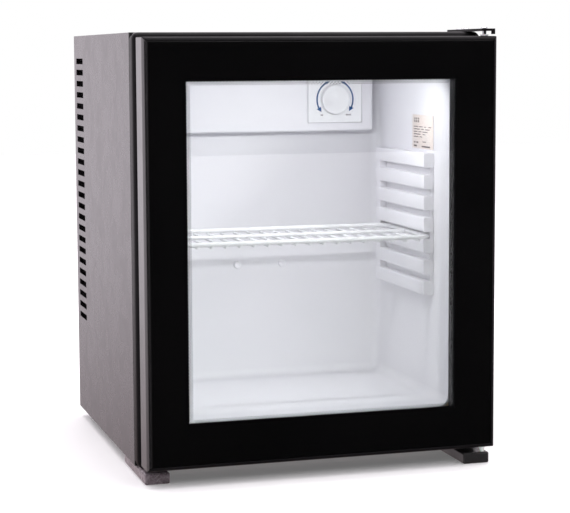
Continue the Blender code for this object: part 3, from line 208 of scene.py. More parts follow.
def metalFinish(name, look):
    material, tree, shader = startMaterial(name)
    stretch = look.get("stretch", (1.0, 1.0, 0.03))
    grain = callGroup(tree, "rolledGrain", {
        "Scale": look.get("grainScale", 260.0), "Stretch X": stretch[0], "Stretch Y": stretch[1],
        "Stretch Z": stretch[2], "Roughness": look["rough"], "Spread": look.get("spread", 0.2)})
    skin = callGroup(tree, "paintedSkin", {
        "Base": rgb(look["base"]), "Drift": rgb(look["drift"]),
        "Drift Scale": look.get("driftScale", 30.0), "Drift Amount": look.get("driftAmount", 0.8),
        "Roughness": grain["Roughness"], "Roughness Spread": 0.1, "Peel Scale": 400.0,
        "Speck Amount": 0.0})
    dust = callGroup(tree, "dustFilm", {"Color": skin["Color"], "Roughness": skin["Roughness"],
                                        "Amount": look.get("dust", 0.15), "Patch Scale": 30.0})
    wireSurface(tree, shader, dust, grain["Streak"], look.get("bump", 0.1), 0.0002)
    shader.inputs["Metallic"].default_value = look.get("metal", 1.0)
    return material


def glassFinish(name, look):
    # clear glass that lets the lamps through, with faint wiping marks in its gloss
    material, tree, shader = startMaterial(name)
    skin = callGroup(tree, "paintedSkin", {
        "Base": rgb(look["base"]), "Drift": rgb(look["drift"]), "Drift Scale": 5.0,
        "Drift Amount": 0.5, "Roughness": look["rough"], "Roughness Spread": look["spread"],
        "Peel Scale": 300.0, "Speck Amount": 0.0})
    tree.links.new(skin["Color"], shader.inputs["Base Color"])
    tree.links.new(skin["Roughness"], shader.inputs["Roughness"])
    shader.inputs["Transmission Weight"].default_value = 1.0
    shader.inputs["IOR"].default_value = look["ior"]
    clear = put(tree, "ShaderNodeBsdfTransparent", {0: (0.93, 0.95, 0.94, 1.0)})
    path = put(tree, "ShaderNodeLightPath")
    mixed = put(tree, "ShaderNodeMixShader", {0: path.outputs["Is Shadow Ray"],
                                              1: shader.outputs[0], 2: clear.outputs[0]})
    tree.links.new(mixed.outputs[0], tree.nodes["Material Output"].inputs["Surface"])
    return material


looks = {
    "painted_steel": (skinFinish, {
        "base": (0.040, 0.032, 0.037), "drift": (0.034, 0.027, 0.031), "rough": 0.28,
        "spread": 0.04, "peel": 0.06, "specks": 0.03, "peelScale": 1400.0, "driftScale": 6.0,
        "driftAmount": 0.35, "dust": 0.02, "ior": 1.62}),
    "black_frame": (skinFinish, {
        "base": (0.010, 0.010, 0.011), "drift": (0.016, 0.015, 0.016), "rough": 0.16,
        "spread": 0.05, "peel": 0.04, "specks": 0.01, "dust": 0.04, "ior": 1.62}),
    "black_plastic": (skinFinish, {
        "base": (0.018, 0.017, 0.018), "drift": (0.026, 0.024, 0.025), "rough": 0.38,
        "spread": 0.10, "peel": 0.30, "specks": 0.03, "peelScale": 1600.0, "driftScale": 30.0,
        "dust": 0.08}),
    "white_liner": (skinFinish, {
        "base": (0.82, 0.81, 0.85), "drift": (0.79, 0.78, 0.84), "rough": 0.30, "spread": 0.03,
        "peel": 0.03, "specks": 0.02, "driftScale": 3.0, "driftAmount": 0.4, "dust": 0.01}),
    "white_coating": (skinFinish, {
        "base": (0.86, 0.86, 0.88), "drift": (0.80, 0.80, 0.84), "rough": 0.25, "spread": 0.12,
        "peel": 0.06, "specks": 0.0, "driftScale": 20.0, "dust": 0.02}),
    "white_nylon": (skinFinish, {
        "base": (0.84, 0.84, 0.82), "drift": (0.76, 0.75, 0.70), "rough": 0.42, "spread": 0.12,
        "peel": 0.10, "driftScale": 80.0, "subsurface": 0.15}),
    "foam": (skinFinish, {
        "base": (0.70, 0.58, 0.33), "drift": (0.60, 0.45, 0.20), "rough": 0.92, "spread": 0.06,
        "peel": 0.8, "peelScale": 500.0, "driftScale": 40.0}),
    "black_print": (skinFinish, {
        "base": (0.0035, 0.0035, 0.004), "drift": (0.006, 0.006, 0.007), "rough": 0.5,
        "spread": 0.05, "peel": 0.02, "specks": 0.0, "dust": 0.0, "ior": 1.05}),
    "rubber": (skinFinish, {
        "base": (0.014, 0.014, 0.014), "drift": (0.020, 0.020, 0.019), "rough": 0.60,
        "spread": 0.1, "peel": 0.2, "driftScale": 30.0, "dust": 0.06}),
    "magnet": (skinFinish, {
        "base": (0.06, 0.05, 0.045), "drift": (0.09, 0.07, 0.06), "rough": 0.8, "spread": 0.1,
        "peel": 0.4, "driftScale": 90.0}),
    "black_pipe": (skinFinish, {
        "base": (0.022, 0.022, 0.024), "drift": (0.045, 0.042, 0.040), "rough": 0.42,
        "spread": 0.25, "peel": 0.15, "driftScale": 45.0, "specks": 0.05, "dust": 0.35}),
    "label_paper": (skinFinish, {
        "base": (0.80, 0.70, 0.66), "drift": (0.74, 0.70, 0.68), "rough": 0.55, "spread": 0.15,
        "peel": 0.1, "driftScale": 40.0}),
    "galvanised_steel": (metalFinish, {
        "base": (0.52, 0.53, 0.55), "drift": (0.34, 0.36, 0.38), "rough": 0.42, "driftScale": 70.0,
        "grainScale": 90.0, "stretch": (1.0, 1.0, 1.0), "dust": 0.25}),
    "aluminium": (metalFinish, {
        "base": (0.74, 0.75, 0.76), "drift": (0.62, 0.63, 0.65), "rough": 0.34,
        "stretch": (0.05, 1.0, 1.0)}),
    "bright_steel": (metalFinish, {
        "base": (0.66, 0.67, 0.69), "drift": (0.45, 0.46, 0.48), "rough": 0.26,
        "driftScale": 200.0}),
    "clear_glass": (glassFinish, {
        "base": (0.985, 0.995, 0.99), "drift": (0.97, 0.99, 0.98), "rough": 0.004, "spread": 0.006,
        "ior": 1.45}),
}
finish = {name: make("finish_" + name, look) for name, (make, look) in looks.items()}
# two copies of one gloss black: the left door profile's copy reflects far more (IOR 2.2) so its
# side strip reads bright, a painted sheen; the other copy reflects very little (IOR 1.14) so the
# other door profiles, the front frame and the hinge plate read dark, painted shade
sheenProfileFinish = skinFinish("finish_profile_painted_sheen", {
    "base": (0.0055, 0.005, 0.0056), "drift": (0.009, 0.008, 0.009), "rough": 0.22,
    "spread": 0.05, "peel": 0.05, "specks": 0.01, "dust": 0.03, "ior": 2.2})
dimmedFrameFinish = skinFinish("finish_frame_dimmed_reflection", {
    "base": (0.006, 0.0055, 0.006), "drift": (0.010, 0.009, 0.010), "rough": 0.24,
    "spread": 0.05, "peel": 0.05, "specks": 0.01, "dust": 0.02, "ior": 1.14})
# the left front foot alone: a lighter grey-brown mottle with pale specks, painted reflection of
# the studio; its dust is real dust, and the right front foot keeps the finish of its slot
footReflectionFinish = skinFinish("finish_foot_painted_reflection", {
    "base": (0.11, 0.085, 0.095), "drift": (0.26, 0.22, 0.24), "driftScale": 170.0,
    "driftAmount": 0.9, "rough": 0.22, "spread": 0.3, "peel": 0.5, "peelScale": 900.0,
    "specks": 0.25, "dust": 0.2})
inkFinish = skinFinish("finish_navy_ink", {"base": (0.010, 0.060, 0.170),
                                           "drift": (0.014, 0.100, 0.300), "rough": 0.4,
                                           "driftScale": 30.0, "peel": 0.05})
greyInk = skinFinish("finish_grey_ink", {"base": (0.10, 0.085, 0.085),
                                         "drift": (0.20, 0.15, 0.15), "rough": 0.5,
                                         "driftScale": 300.0, "peel": 0.05})
# grey for the thin lines round the dial plate and the knob: painted shade at their edges
shadowInk = skinFinish("finish_painted_edge_shade", {"base": (0.42, 0.42, 0.45),
                                            "drift": (0.5, 0.5, 0.52), "rough": 0.6,
                                            "driftScale": 60.0, "peel": 0.02, "dust": 0.0})
slots = {entry["node"]: entry["material_slot"] for entry in frame["record"]["subparts"]}
print("finishes ready,", len(finish))


# every carried node takes its own finish first; pieces below replace some of them
for nodeName, nodeObject in frame["nodes"].items():
    for materialSlot in nodeObject.material_slots:
        materialSlot.material = finish[slots[nodeName]]


# ---- mesh helpers ----

mergeGap = 0.00001

def addPiece(name, mesh, body, slotName, replaced=(), material=None):
    mesh.name = name
    if not mesh.materials:
        mesh.materials.append(material or finish[slotName])
    piece = bpy.data.objects.new(name, mesh)
    scene.collection.objects.link(piece)
    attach(piece, body)
    if replaced:
        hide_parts(*replaced)
    return piece


def finishMesh(bm, angle=35.0):
    bmesh.ops.recalc_face_normals(bm, faces=bm.faces)
    mesh = bpy.data.meshes.new("made")
    bm.to_mesh(mesh)
    bm.free()
    mesh.shade_smooth()
    mesh.set_sharp_from_angle(angle=math.radians(angle))
    return mesh


def applied(mesh, modifiers):
    # runs a list of (kind, settings) modifiers over a mesh and gives the plain result
    helper = bpy.data.objects.new("helper", mesh)
    scene.collection.objects.link(helper)
    for kind, settings in modifiers:
        modifier = helper.modifiers.new(kind, kind)
        for key, value in settings.items():
            setattr(modifier, key, value)
    graph = bpy.context.evaluated_depsgraph_get()
    result = bpy.data.meshes.new_from_object(helper.evaluated_get(graph))
    bpy.data.objects.remove(helper, do_unlink=True)
    return result


def softened(node, body, width=0.0004, segments=2, angle=35.0, material=None):
    # a merged copy of a node whose hard edges get a small radius
    bm = bmesh.new()
    bm.from_mesh(frame["nodes"][node].data)
    bmesh.ops.remove_doubles(bm, verts=bm.verts, dist=mergeGap)
    bmesh.ops.dissolve_limit(bm, angle_limit=math.radians(0.5), verts=bm.verts, edges=bm.edges)
    mesh = finishMesh(bm, angle)
    mesh.materials.clear()
    if width:
        mesh = applied(mesh, [("BEVEL", {"width": width, "segments": segments,
                                         "limit_method": "ANGLE",
                                         "angle_limit": math.radians(angle + 5),
                                         "harden_normals": True, "use_clamp_overlap": True})])
    return addPiece(node + "_soft", mesh, body, slots[node], [node], material)


def middleOf(low, high, **fixed):
    # the middle of a box, with any axis given instead
    return Vector([fixed.get(axis, (getattr(low, axis) + getattr(high, axis)) / 2)
                   for axis in "xyz"])


def cuboid(bm, low, high, bevel=0.0, segments=2):
    made = bmesh.ops.create_cube(bm, size=1.0)["verts"]
    bmesh.ops.scale(bm, vec=[h - l for l, h in zip(low, high)], verts=made)
    bmesh.ops.translate(bm, vec=[(h + l) / 2 for l, h in zip(low, high)], verts=made)
    if bevel:
        edges = list({edge for vert in made for edge in vert.link_edges})
        bmesh.ops.bevel(bm, geom=edges, offset=bevel, segments=segments, affect="EDGES",
                        profile=0.5)


def spun(profile, centre, axis="Z", steps=48):
    # a closed profile of (radius, height) points turned round an axis through centre
    bm = bmesh.new()
    ring = [bm.verts.new((radius, 0, height)) for radius, height in profile]
    edges = [bm.edges.new(pair) for pair in zip(ring, ring[1:])]
    bmesh.ops.spin(bm, geom=ring + edges, cent=(0, 0, 0), axis=(0, 0, 1),
                   angle=math.tau, steps=steps, use_merge=True)
    bmesh.ops.remove_doubles(bm, verts=bm.verts, dist=0.000005)
    turn = {"Z": Matrix.Identity(4), "-Z": Matrix.Rotation(math.pi, 4, "X"),
            "-Y": Matrix.Rotation(math.pi / 2, 4, "X"), "Y": Matrix.Rotation(-math.pi / 2, 4, "X"),
            "X": Matrix.Rotation(math.pi / 2, 4, "Y")}[axis]
    bmesh.ops.transform(bm, matrix=Matrix.Translation(centre) @ turn, verts=bm.verts)
    return finishMesh(bm, 40.0)


# ---- Geometry Nodes helpers ----

def newGeometryTree(name, sizes):
    tree = bpy.data.node_groups.new(name, "GeometryNodeTree")
    tree.interface.new_socket("Geometry", in_out="INPUT", socket_type="NodeSocketGeometry")
    tree.interface.new_socket("Finish", in_out="INPUT", socket_type="NodeSocketMaterial")
    addSockets(tree, sizes, {"Geometry": "NodeSocketGeometry"})
    return tree, put(tree, "NodeGroupInput").outputs


def closeTree(tree, geometry, given, smooth=True):
    real = put(tree, "GeometryNodeRealizeInstances", {0: geometry}).outputs[0]
    if smooth:
        real = put(tree, "GeometryNodeSetShadeSmooth", {0: real, 2: True}).outputs[0]
    painted = put(tree, "GeometryNodeSetMaterial", {0: real, "Material": given["Finish"]})
    put(tree, "NodeGroupOutput", {0: painted.outputs[0]})


def runTree(tree, values, material, start=None, angle=35.0):
    helper = bpy.data.objects.new("helper", start or bpy.data.meshes.new("empty"))
    scene.collection.objects.link(helper)
    modifier = helper.modifiers.new("nodes", "NODES")
    modifier.node_group = tree
    sockets = {item.name: item.identifier for item in tree.interface.items_tree
               if item.item_type == "SOCKET" and item.in_out == "INPUT"}
    modifier[sockets["Finish"]] = material
    for label, value in values.items():
        modifier[sockets[label]] = value
    graph = bpy.context.evaluated_depsgraph_get()
    mesh = bpy.data.meshes.new_from_object(helper.evaluated_get(graph))
    bpy.data.objects.remove(helper, do_unlink=True)
    # the tree leaves an empty first slot; keep just the finish
    mesh.materials.clear()
    mesh.materials.append(material)
    mesh.polygons.foreach_set("material_index", [0] * len(mesh.polygons))
    mesh.set_sharp_from_angle(angle=math.radians(angle))
    return mesh


def moved(tree, geometry, offset=None, turn=None, scale=None):
    links = {0: geometry}
    if offset is not None:
        links["Translation"] = offset
    if turn is not None:
        links["Rotation"] = turn
    if scale is not None:
        links["Scale"] = scale
    return put(tree, "GeometryNodeTransform", links).outputs[0]


def vector(tree, x=0.0, y=0.0, z=0.0):
    return put(tree, "ShaderNodeCombineXYZ", {0: x, 1: y, 2: z}).outputs[0]


def joined(tree, parts):
    node = tree.nodes.new("GeometryNodeJoinGeometry")
    for part in parts:
        tree.links.new(part, node.inputs[0])
    return node.outputs[0]


def rodAlong(tree, start, end, radius, sides=12):
    line = put(tree, "GeometryNodeCurvePrimitiveLine", {"Start": start, "End": end}).outputs[0]
    rim = put(tree, "GeometryNodeCurvePrimitiveCircle", {"Resolution": sides, "Radius": radius})
    return put(tree, "GeometryNodeCurveToMesh", {0: line, 1: rim.outputs[0],
                                                 "Fill Caps": True}).outputs[0]


# ---- door ----

door = {"left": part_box("door_profile_left")[0].x, "right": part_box("door_profile_right")[1].x,
        "bottom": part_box("door_profile_bottom")[0].z, "top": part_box("door_profile_top")[1].z}
window = {"latchMargin": 0.0465, "hingeMargin": 0.0495, "topMargin": 0.047,
          "bottomMargin": 0.050, "pitch": 0.00175, "dotRadius": 0.00086, "dotFade": 0.13,
          "rows": 2.5, "dotDepth": 0.00006}


def frittedDotsTree():
    # a checkered band of dots inside the printed border, smaller towards the glass
    tree, given = newGeometryTree("frittedDots", {
        "Width": 0.3, "Height": 0.36, "Columns": 170, "Lines": 200, "Dot Radius": 0.0009,
        "Fade": 0.2, "Rows": 2.5, "Depth": 0.0003})
    grid = put(tree, "GeometryNodeMeshGrid", {
        "Size X": given["Width"], "Size Y": given["Height"],
        "Vertices X": given["Columns"], "Vertices Y": given["Lines"]}).outputs[0]
    spot = put(tree, "ShaderNodeSeparateXYZ",
               {0: put(tree, "GeometryNodeInputPosition").outputs[0]}).outputs
    steps, index = {}, {}
    for axis, size, count in ((0, "Width", "Columns"), (1, "Height", "Lines")):
        gap = calc(tree, "DIVIDE", given[size], calc(tree, "SUBTRACT", given[count], 1.0))
        half = calc(tree, "MULTIPLY", given[size], 0.5)
        place = calc(tree, "ADD", spot[axis], half)
        index[axis] = calc(tree, "ROUND", calc(tree, "DIVIDE", place, gap))
        inward = calc(tree, "SUBTRACT", half, calc(tree, "ABSOLUTE", spot[axis]))
        steps[axis] = calc(tree, "DIVIDE", inward, gap)
    depth = calc(tree, "MINIMUM", steps[0], steps[1])
    odd = calc(tree, "MODULO", calc(tree, "ADD", index[0], index[1]), 2.0)
    drop = calc(tree, "MAXIMUM", calc(tree, "GREATER_THAN", depth, given["Rows"]),
                calc(tree, "GREATER_THAN", odd, 0.5))
    band = put(tree, "GeometryNodeDeleteGeometry", {0: grid, 1: drop}, domain="POINT").outputs[0]
    dot = put(tree, "GeometryNodeMeshCylinder", {"Vertices": 10, "Side Segments": 1,
                                                 "Radius": given["Dot Radius"],
                                                 "Depth": given["Depth"]}).outputs[0]
    size = calc(tree, "SUBTRACT", 1.1, calc(tree, "MULTIPLY", depth, given["Fade"]))
    scale = vector(tree, size, size, 1.0)
    spread = put(tree, "GeometryNodeInstanceOnPoints", {0: band, "Instance": dot,
                                                        "Scale": scale}).outputs[0]
    standing = moved(tree, spread, turn=(math.pi / 2, 0.0, 0.0))
    closeTree(tree, standing, given, smooth=False)
    return tree


def makeDoorPrint():
    left = door["left"] + window["latchMargin"]
    right = door["right"] - window["hingeMargin"]
    bottom = door["bottom"] + window["bottomMargin"]
    top = door["top"] - window["topMargin"]
    columns = 2 * int((right - left) / window["pitch"] / 2) + 1
    lines = 2 * int((top - bottom) / window["pitch"] / 2) + 1
    mesh = runTree(frittedDotsTree(), {
        "Width": right - left, "Height": top - bottom, "Columns": columns, "Lines": lines,
        "Dot Radius": window["dotRadius"], "Fade": window["dotFade"], "Rows": window["rows"],
        "Depth": window["dotDepth"]}, finish["black_print"])
    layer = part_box("door_glass_outer")[0].y - window["dotDepth"] / 2 - 0.00001
    mesh.transform(Matrix.Translation(((left + right) / 2, layer, (bottom + top) / 2)))
    addPiece("door_print_dots", mesh, "door", "black_print")


def makeDoorPane():
    # one pane: black enamel round the window, clear in the middle, ground edges
    low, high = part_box("door_glass_outer")
    ground = paneLook["groundEdge"]
    inner = (door["left"] + window["latchMargin"], door["right"] - window["hingeMargin"],
             door["bottom"] + window["bottomMargin"], door["top"] - window["topMargin"])
    outer = (low.x, high.x, low.z, high.z)
    eased = (low.x + ground, high.x - ground, low.z + ground, high.z - ground)
    bm = bmesh.new()
    loops = []
    for (left, right, bottom, top), y in ((inner, low.y), (eased, low.y), (outer, low.y + ground),
                                          (outer, high.y - ground), (eased, high.y),
                                          (inner, high.y)):
        loops.append([bm.verts.new((x, y, z)) for x, z in
                      ((left, bottom), (right, bottom), (right, top), (left, top))])
    for near, far in zip(loops, loops[1:]):
        for index in range(4):
            after = (index + 1) % 4
            bm.faces.new((near[index], near[after], far[after], far[index])).material_index = 1
    bm.faces.new(loops[0])
    bm.faces.new(loops[-1][::-1])
    mesh = finishMesh(bm, 20.0)
    mesh.materials.append(finish["clear_glass"])
    mesh.materials.append(enamelFinish)
    addPiece("door_pane_enamelled", mesh, "door", "clear_glass",
             ["door_glass_outer", "door_print_mask"])


paneLook = {"groundEdge": 0.0005}
enamelFinish = skinFinish("finish_enamel", {"base": (0.0018, 0.0018, 0.0019),
                                            "drift": (0.0026, 0.0025, 0.0026), "rough": 0.05,
                                            "spread": 0.03, "peel": 0.0, "specks": 0.0,
                                            "dust": 0.01})
makeDoorPrint()
makeDoorPane()
# the left door profile takes the strongly reflecting copy (painted sheen), the others the weakly
# reflecting one (painted shade)
for barName in ("left", "right", "top", "bottom"):
    softened("door_profile_" + barName, "door", 0.0004, 2,
             material=sheenProfileFinish if barName == "left" else dimmedFrameFinish)
softened("door_inner_frame", "door", 0.0006, 2)
print("door frame, glass and printed dots done")


# a lipped section carried round a rectangle with square corners
gasketLook = {"width": 0.014, "angle": 30.0}


def sweptRing(section, low, high, name, body, slotName, replaced, material=None):
    # section: closed outline of (inward, y) points; the ring lies in the XZ plane
    left, right, bottom, top = low.x, high.x, low.z, high.z
    bm = bmesh.new()
    rings = []
    for sideX, sideZ in ((-1, -1), (1, -1), (1, 1), (-1, 1)):
        ring = []
        for inward, y in section:
            x = left + inward if sideX < 0 else right - inward
            z = bottom + inward if sideZ < 0 else top - inward
            ring.append(bm.verts.new((x, y, z)))
        rings.append(ring)
    count = len(section)
    for index in range(4):
        near, far = rings[index], rings[(index + 1) % 4]
        for step in range(count):
            after = (step + 1) % count
            bm.faces.new((near[step], near[after], far[after], far[step]))
    return addPiece(name, finishMesh(bm, gasketLook["angle"]), body, slotName, replaced, material)


def makeGasket():
    low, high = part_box("door_gasket")
    front, back = low.y, high.y
    depth = back - front
    width = gasketLook["width"]
    section = [(0.0, back - 0.0012), (0.0006, back - 0.0003), (0.0020, back),
               (width - 0.0020, back), (width - 0.0006, back - 0.0003), (width, back - 0.0012),
               (width - 0.0004, back - depth * 0.42), (width - 0.0026, back - depth * 0.55),
               (width - 0.0006, back - depth * 0.72), (width, front + 0.0006),
               (width - 0.0006, front + 0.0002), (0.0006, front + 0.0002),
               (0.0, front + 0.0006), (0.0006, back - depth * 0.72),
               (0.0026, back - depth * 0.55), (0.0004, back - depth * 0.42)]
    sweptRing(section, low, high, "door_gasket_lipped", "door", "rubber",
              ["door_gasket", "gasket_magnet"])


makeGasket()


# ---- cabinet skin ----

def softenAll(rows):
    # each row: node, edge radius, segments, and a finish of its own if it has one
    for node, width, segments, *own in rows:
        softened(node, "cabinet", width, segments, material=own[0] if own else None)


softenAll([("side_panel_left", 0.0005, 2), ("side_panel_right", 0.0005, 2),
           ("front_frame", 0.0006, 2, dimmedFrameFinish)])


# size of the black strip that stands for the shade in the seam: painted shadow
seamShadeLook = {"width": 0.0024, "proud": 0.00006, "deep": 0.0012, "lap": 0.0002}


def makeSeamShadowStrip():
    # a thin black strip set in the seam where the skin meets the front frame: painted shadow of
    # the gap
    low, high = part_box("front_frame")
    proud, deep = seamShadeLook["proud"], seamShadeLook["deep"]
    start, end = high.y - seamShadeLook["lap"], high.y + seamShadeLook["width"]
    section = [(-proud, start), (-proud, end), (deep, end), (deep, start)]
    sweptRing(section, low, high, "seam_shadow_strip", "cabinet", "black_frame", [], finish["rubber"])


makeSeamShadowStrip()
# the hinge plate takes the weakly reflecting black copy: painted shade
softenAll([("top_panel", 0.0003, 2), ("rear_cover", 0.0003, 2),
           ("upper_hinge_plate", 0.0005, 3, dimmedFrameFinish), ("terminal_box", 0.0012, 3),
           # the left front foot takes the lighter mottled copy: painted reflection
           ("front_foot_left", 0.0006, 3, footReflectionFinish), ("front_foot_right", 0.0006, 3)])


foamLook = {"back": 0.0025}


def makeFoam():
    # the foam keeps back from the seams of the skin, so none of it shows in them
    back = foamLook["back"]
    low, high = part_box("foam_insulation")
    bm = bmesh.new()
    bm.from_mesh(frame["nodes"]["foam_insulation"].data)
    bmesh.ops.remove_doubles(bm, verts=bm.verts, dist=mergeGap)
    for vert in bm.verts:
        for axis in (0, 2):
            if vert.co[axis] < low[axis] + back:
                vert.co[axis] = low[axis] + back
            if vert.co[axis] > high[axis] - back:
                vert.co[axis] = high[axis] - back
        if vert.co.y < low.y + back:
            vert.co.y = low.y + back
    mesh = finishMesh(bm)
    mesh.materials.clear()
    addPiece("foam_core", mesh, "cabinet", "foam", ["foam_insulation"])


makeFoam()
softened("inner_liner", "cabinet", 0.0, 2, 45.0)
softenAll([("dial_plate", 0.0003, 2), ("thermostat_body", 0.0010, 3),
           ("unit_bracket_lower", 0.0006, 2), ("unit_bracket_upper", 0.0006, 2)])
print("cabinet skin done")


# ---- shelf runners: a main piece made by rule, ribs and grooves on a back plate ----

runner = {"ribs": 7, "ribHeight": 0.0167, "grooveHeight": 0.0083, "radius": 0.0016,
          "plate": 0.0022, "endWall": 0.012}


def runnerTree():
    tree, given = newGeometryTree("shelfRunner", {
        "Ribs": 7, "Rib Height": 0.0167, "Groove Height": 0.0083, "Depth": 0.0123,
        "Length": 0.16, "Corner": 0.0016, "Plate": 0.002, "End Wall": 0.012})

    def roundedBar(width, height, length):
        outline = put(tree, "GeometryNodeCurvePrimitiveQuadrilateral",
                      {"Width": width, "Height": height}).outputs[0]
        soft = put(tree, "GeometryNodeFilletCurve", {0: outline, "Radius": given["Corner"],
                                                     "Count": 4}, mode="POLY").outputs[0]
        half = calc(tree, "MULTIPLY", length, 0.5)
        line = put(tree, "GeometryNodeCurvePrimitiveLine", {
            "Start": vector(tree, 0.0, calc(tree, "MULTIPLY", half, -1.0), 0.0),
            "End": vector(tree, 0.0, half, 0.0)}).outputs[0]
        return put(tree, "GeometryNodeCurveToMesh", {0: line, 1: soft,
                                                     "Fill Caps": True}).outputs[0]

    pitch = calc(tree, "ADD", given["Rib Height"], given["Groove Height"])
    rib = roundedBar(given["Depth"], given["Rib Height"], given["Length"])
    posts = put(tree, "GeometryNodeMeshLine", {"Count": given["Ribs"],
                                               "Offset": vector(tree, 0.0, 0.0, pitch)}).outputs[0]
    ribs = put(tree, "GeometryNodeInstanceOnPoints", {0: posts, "Instance": rib}).outputs[0]
    span = calc(tree, "MULTIPLY", calc(tree, "SUBTRACT", given["Ribs"], 1.0), pitch)
    middle = calc(tree, "MULTIPLY", span, 0.5)
    tall = calc(tree, "ADD", span, calc(tree, "MULTIPLY", given["Rib Height"], 0.8))
    shorter = calc(tree, "SUBTRACT", given["Length"], 0.003)
    plate = roundedBar(calc(tree, "ADD", given["Plate"], given["Corner"]), tall, shorter)
    backward = calc(tree, "MULTIPLY", calc(tree, "SUBTRACT", given["Depth"], given["Plate"]), 0.5)
    plate = moved(tree, plate, vector(tree, calc(tree, "SUBTRACT", backward, 0.0008), 0.0, middle))
    ending = roundedBar(calc(tree, "SUBTRACT", given["Depth"], 0.0008), tall, given["End Wall"])
    rear = calc(tree, "MULTIPLY", calc(tree, "SUBTRACT", shorter, given["End Wall"]), 0.5)
    ending = moved(tree, ending, vector(tree, 0.0, rear, middle))
    closeTree(tree, joined(tree, [ribs, plate, ending]), given)
    return tree


def makeRunners():
    tree = runnerTree()
    for side, node in ((1, "shelf_runner_right"), (-1, "shelf_runner_left")):
        low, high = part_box(node)
        mesh = runTree(tree, {
            "Ribs": runner["ribs"], "Rib Height": runner["ribHeight"],
            "Groove Height": runner["grooveHeight"], "Depth": high.x - low.x,
            "Length": high.y - low.y, "Corner": runner["radius"], "Plate": runner["plate"],
            "End Wall": runner["endWall"]}, finish["white_liner"])
        turn = Matrix.Identity(4) if side > 0 else Matrix.Rotation(math.pi, 4, "Z")
        if side < 0:
            mesh.transform(Matrix.Scale(-1, 4, (0, 1, 0)))
            mesh.flip_normals()
        centre = middleOf(low, high, z=low.z + runner["ribHeight"] / 2)
        mesh.transform(Matrix.Translation(centre) @ turn)
        addPiece(node + "_ribbed", mesh, "cabinet", "white_liner", [node])


makeRunners()


# ---- wire shelf ----

shelf = {"frameRadius": 0.00275, "wireRadius": 0.0015, "wires": 19, "pitch": 0.0166,
         "corner": 0.012, "weld": 0.0006}


def shelfTree():
    tree, given = newGeometryTree("wireShelf", {
        "Width": 0.325, "Depth": 0.149, "Corner": 0.012, "Frame Radius": 0.00275,
        "Wire Radius": 0.0015, "Wires": 19, "Pitch": 0.0166, "Weld": 0.0006})
    outline = put(tree, "GeometryNodeCurvePrimitiveQuadrilateral",
                  {"Width": given["Width"], "Height": given["Depth"]}).outputs[0]
    loop = put(tree, "GeometryNodeFilletCurve", {0: outline, "Radius": given["Corner"],
                                                 "Count": 8}, mode="POLY").outputs[0]
    rim = put(tree, "GeometryNodeCurvePrimitiveCircle", {"Resolution": 16,
                                                         "Radius": given["Frame Radius"]})
    frameBar = put(tree, "GeometryNodeCurveToMesh", {0: loop, 1: rim.outputs[0]}).outputs[0]
    half = calc(tree, "MULTIPLY", given["Depth"], 0.5)
    reach = calc(tree, "ADD", half, calc(tree, "MULTIPLY", given["Frame Radius"], 0.5))
    back = calc(tree, "MULTIPLY", reach, -1.0)
    wire = rodAlong(tree, vector(tree, 0.0, back, 0.0), vector(tree, 0.0, reach, 0.0),
                    given["Wire Radius"], 10)
    drop = calc(tree, "SUBTRACT", given["Weld"],
                calc(tree, "ADD", given["Frame Radius"], given["Wire Radius"]))
    first = calc(tree, "MULTIPLY", calc(tree, "MULTIPLY", given["Pitch"], -0.5),
                 calc(tree, "SUBTRACT", given["Wires"], 1.0))
    row = put(tree, "GeometryNodeMeshLine", {
        "Count": given["Wires"], "Start Location": vector(tree, first, 0.0, drop),
        "Offset": vector(tree, given["Pitch"], 0.0, 0.0)}).outputs[0]
    wires = put(tree, "GeometryNodeInstanceOnPoints", {0: row, "Instance": wire}).outputs[0]
    side = calc(tree, "MULTIPLY", given["Width"], 0.5)
    cross = rodAlong(tree, vector(tree, calc(tree, "MULTIPLY", side, -1.0), 0.0, 0.0),
                     vector(tree, side, 0.0, 0.0),
                     calc(tree, "MULTIPLY", given["Frame Radius"], 0.8), 14)
    bead = put(tree, "GeometryNodeMeshUVSphere", {"Segments": 8, "Rings": 5,
                                                  "Radius": given["Wire Radius"]}).outputs[0]
    bead = moved(tree, bead, scale=(1.5, 1.3, 0.8))
    beads = [wires, frameBar, cross]
    for line in (-1.0, 0.0, 1.0):
        lift = calc(tree, "MULTIPLY", calc(tree, "MULTIPLY", given["Frame Radius"], -1.0), 0.95)
        spots = put(tree, "GeometryNodeMeshLine", {
            "Count": given["Wires"],
            "Start Location": vector(tree, first, calc(tree, "MULTIPLY", half, line), lift),
            "Offset": vector(tree, given["Pitch"], 0.0, 0.0)}).outputs[0]
        beads.append(put(tree, "GeometryNodeInstanceOnPoints", {0: spots,
                                                                "Instance": bead}).outputs[0])
    closeTree(tree, joined(tree, beads), given)
    return tree


def makeShelf():
    low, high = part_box("wire_shelf")
    radius = shelf["frameRadius"]
    mesh = runTree(shelfTree(), {
        "Width": high.x - low.x - 2 * radius, "Depth": high.y - low.y - 2 * radius,
        "Corner": shelf["corner"], "Frame Radius": radius, "Wire Radius": shelf["wireRadius"],
        "Wires": shelf["wires"], "Pitch": shelf["pitch"], "Weld": shelf["weld"]},
        finish["white_coating"], angle=50.0)
    mesh.transform(Matrix.Translation(middleOf(low, high, z=high.z - radius)))
    addPiece("wire_shelf_welded", mesh, "shelf", "white_coating", ["wire_shelf"])


makeShelf()
print("runners and wire shelf done")


# ---- evaporator cover, dial and label ----

coverLook = {"edge": 0.003, "segments": 4}
dialLook = {"outline": 0.0006, "arc": 0.0236, "arcWidth": 0.0019, "ink": 0.00015, "arrow": 0.0066,
            "leftArc": (112, 206), "rightArc": (68, -24), "arrowTurn": 15,
            "markReach": 0.0175, "markPitch": 0.0017, "markDrop": 0.0192,
            "markWide": 0.0005, "markTall": 0.0009}


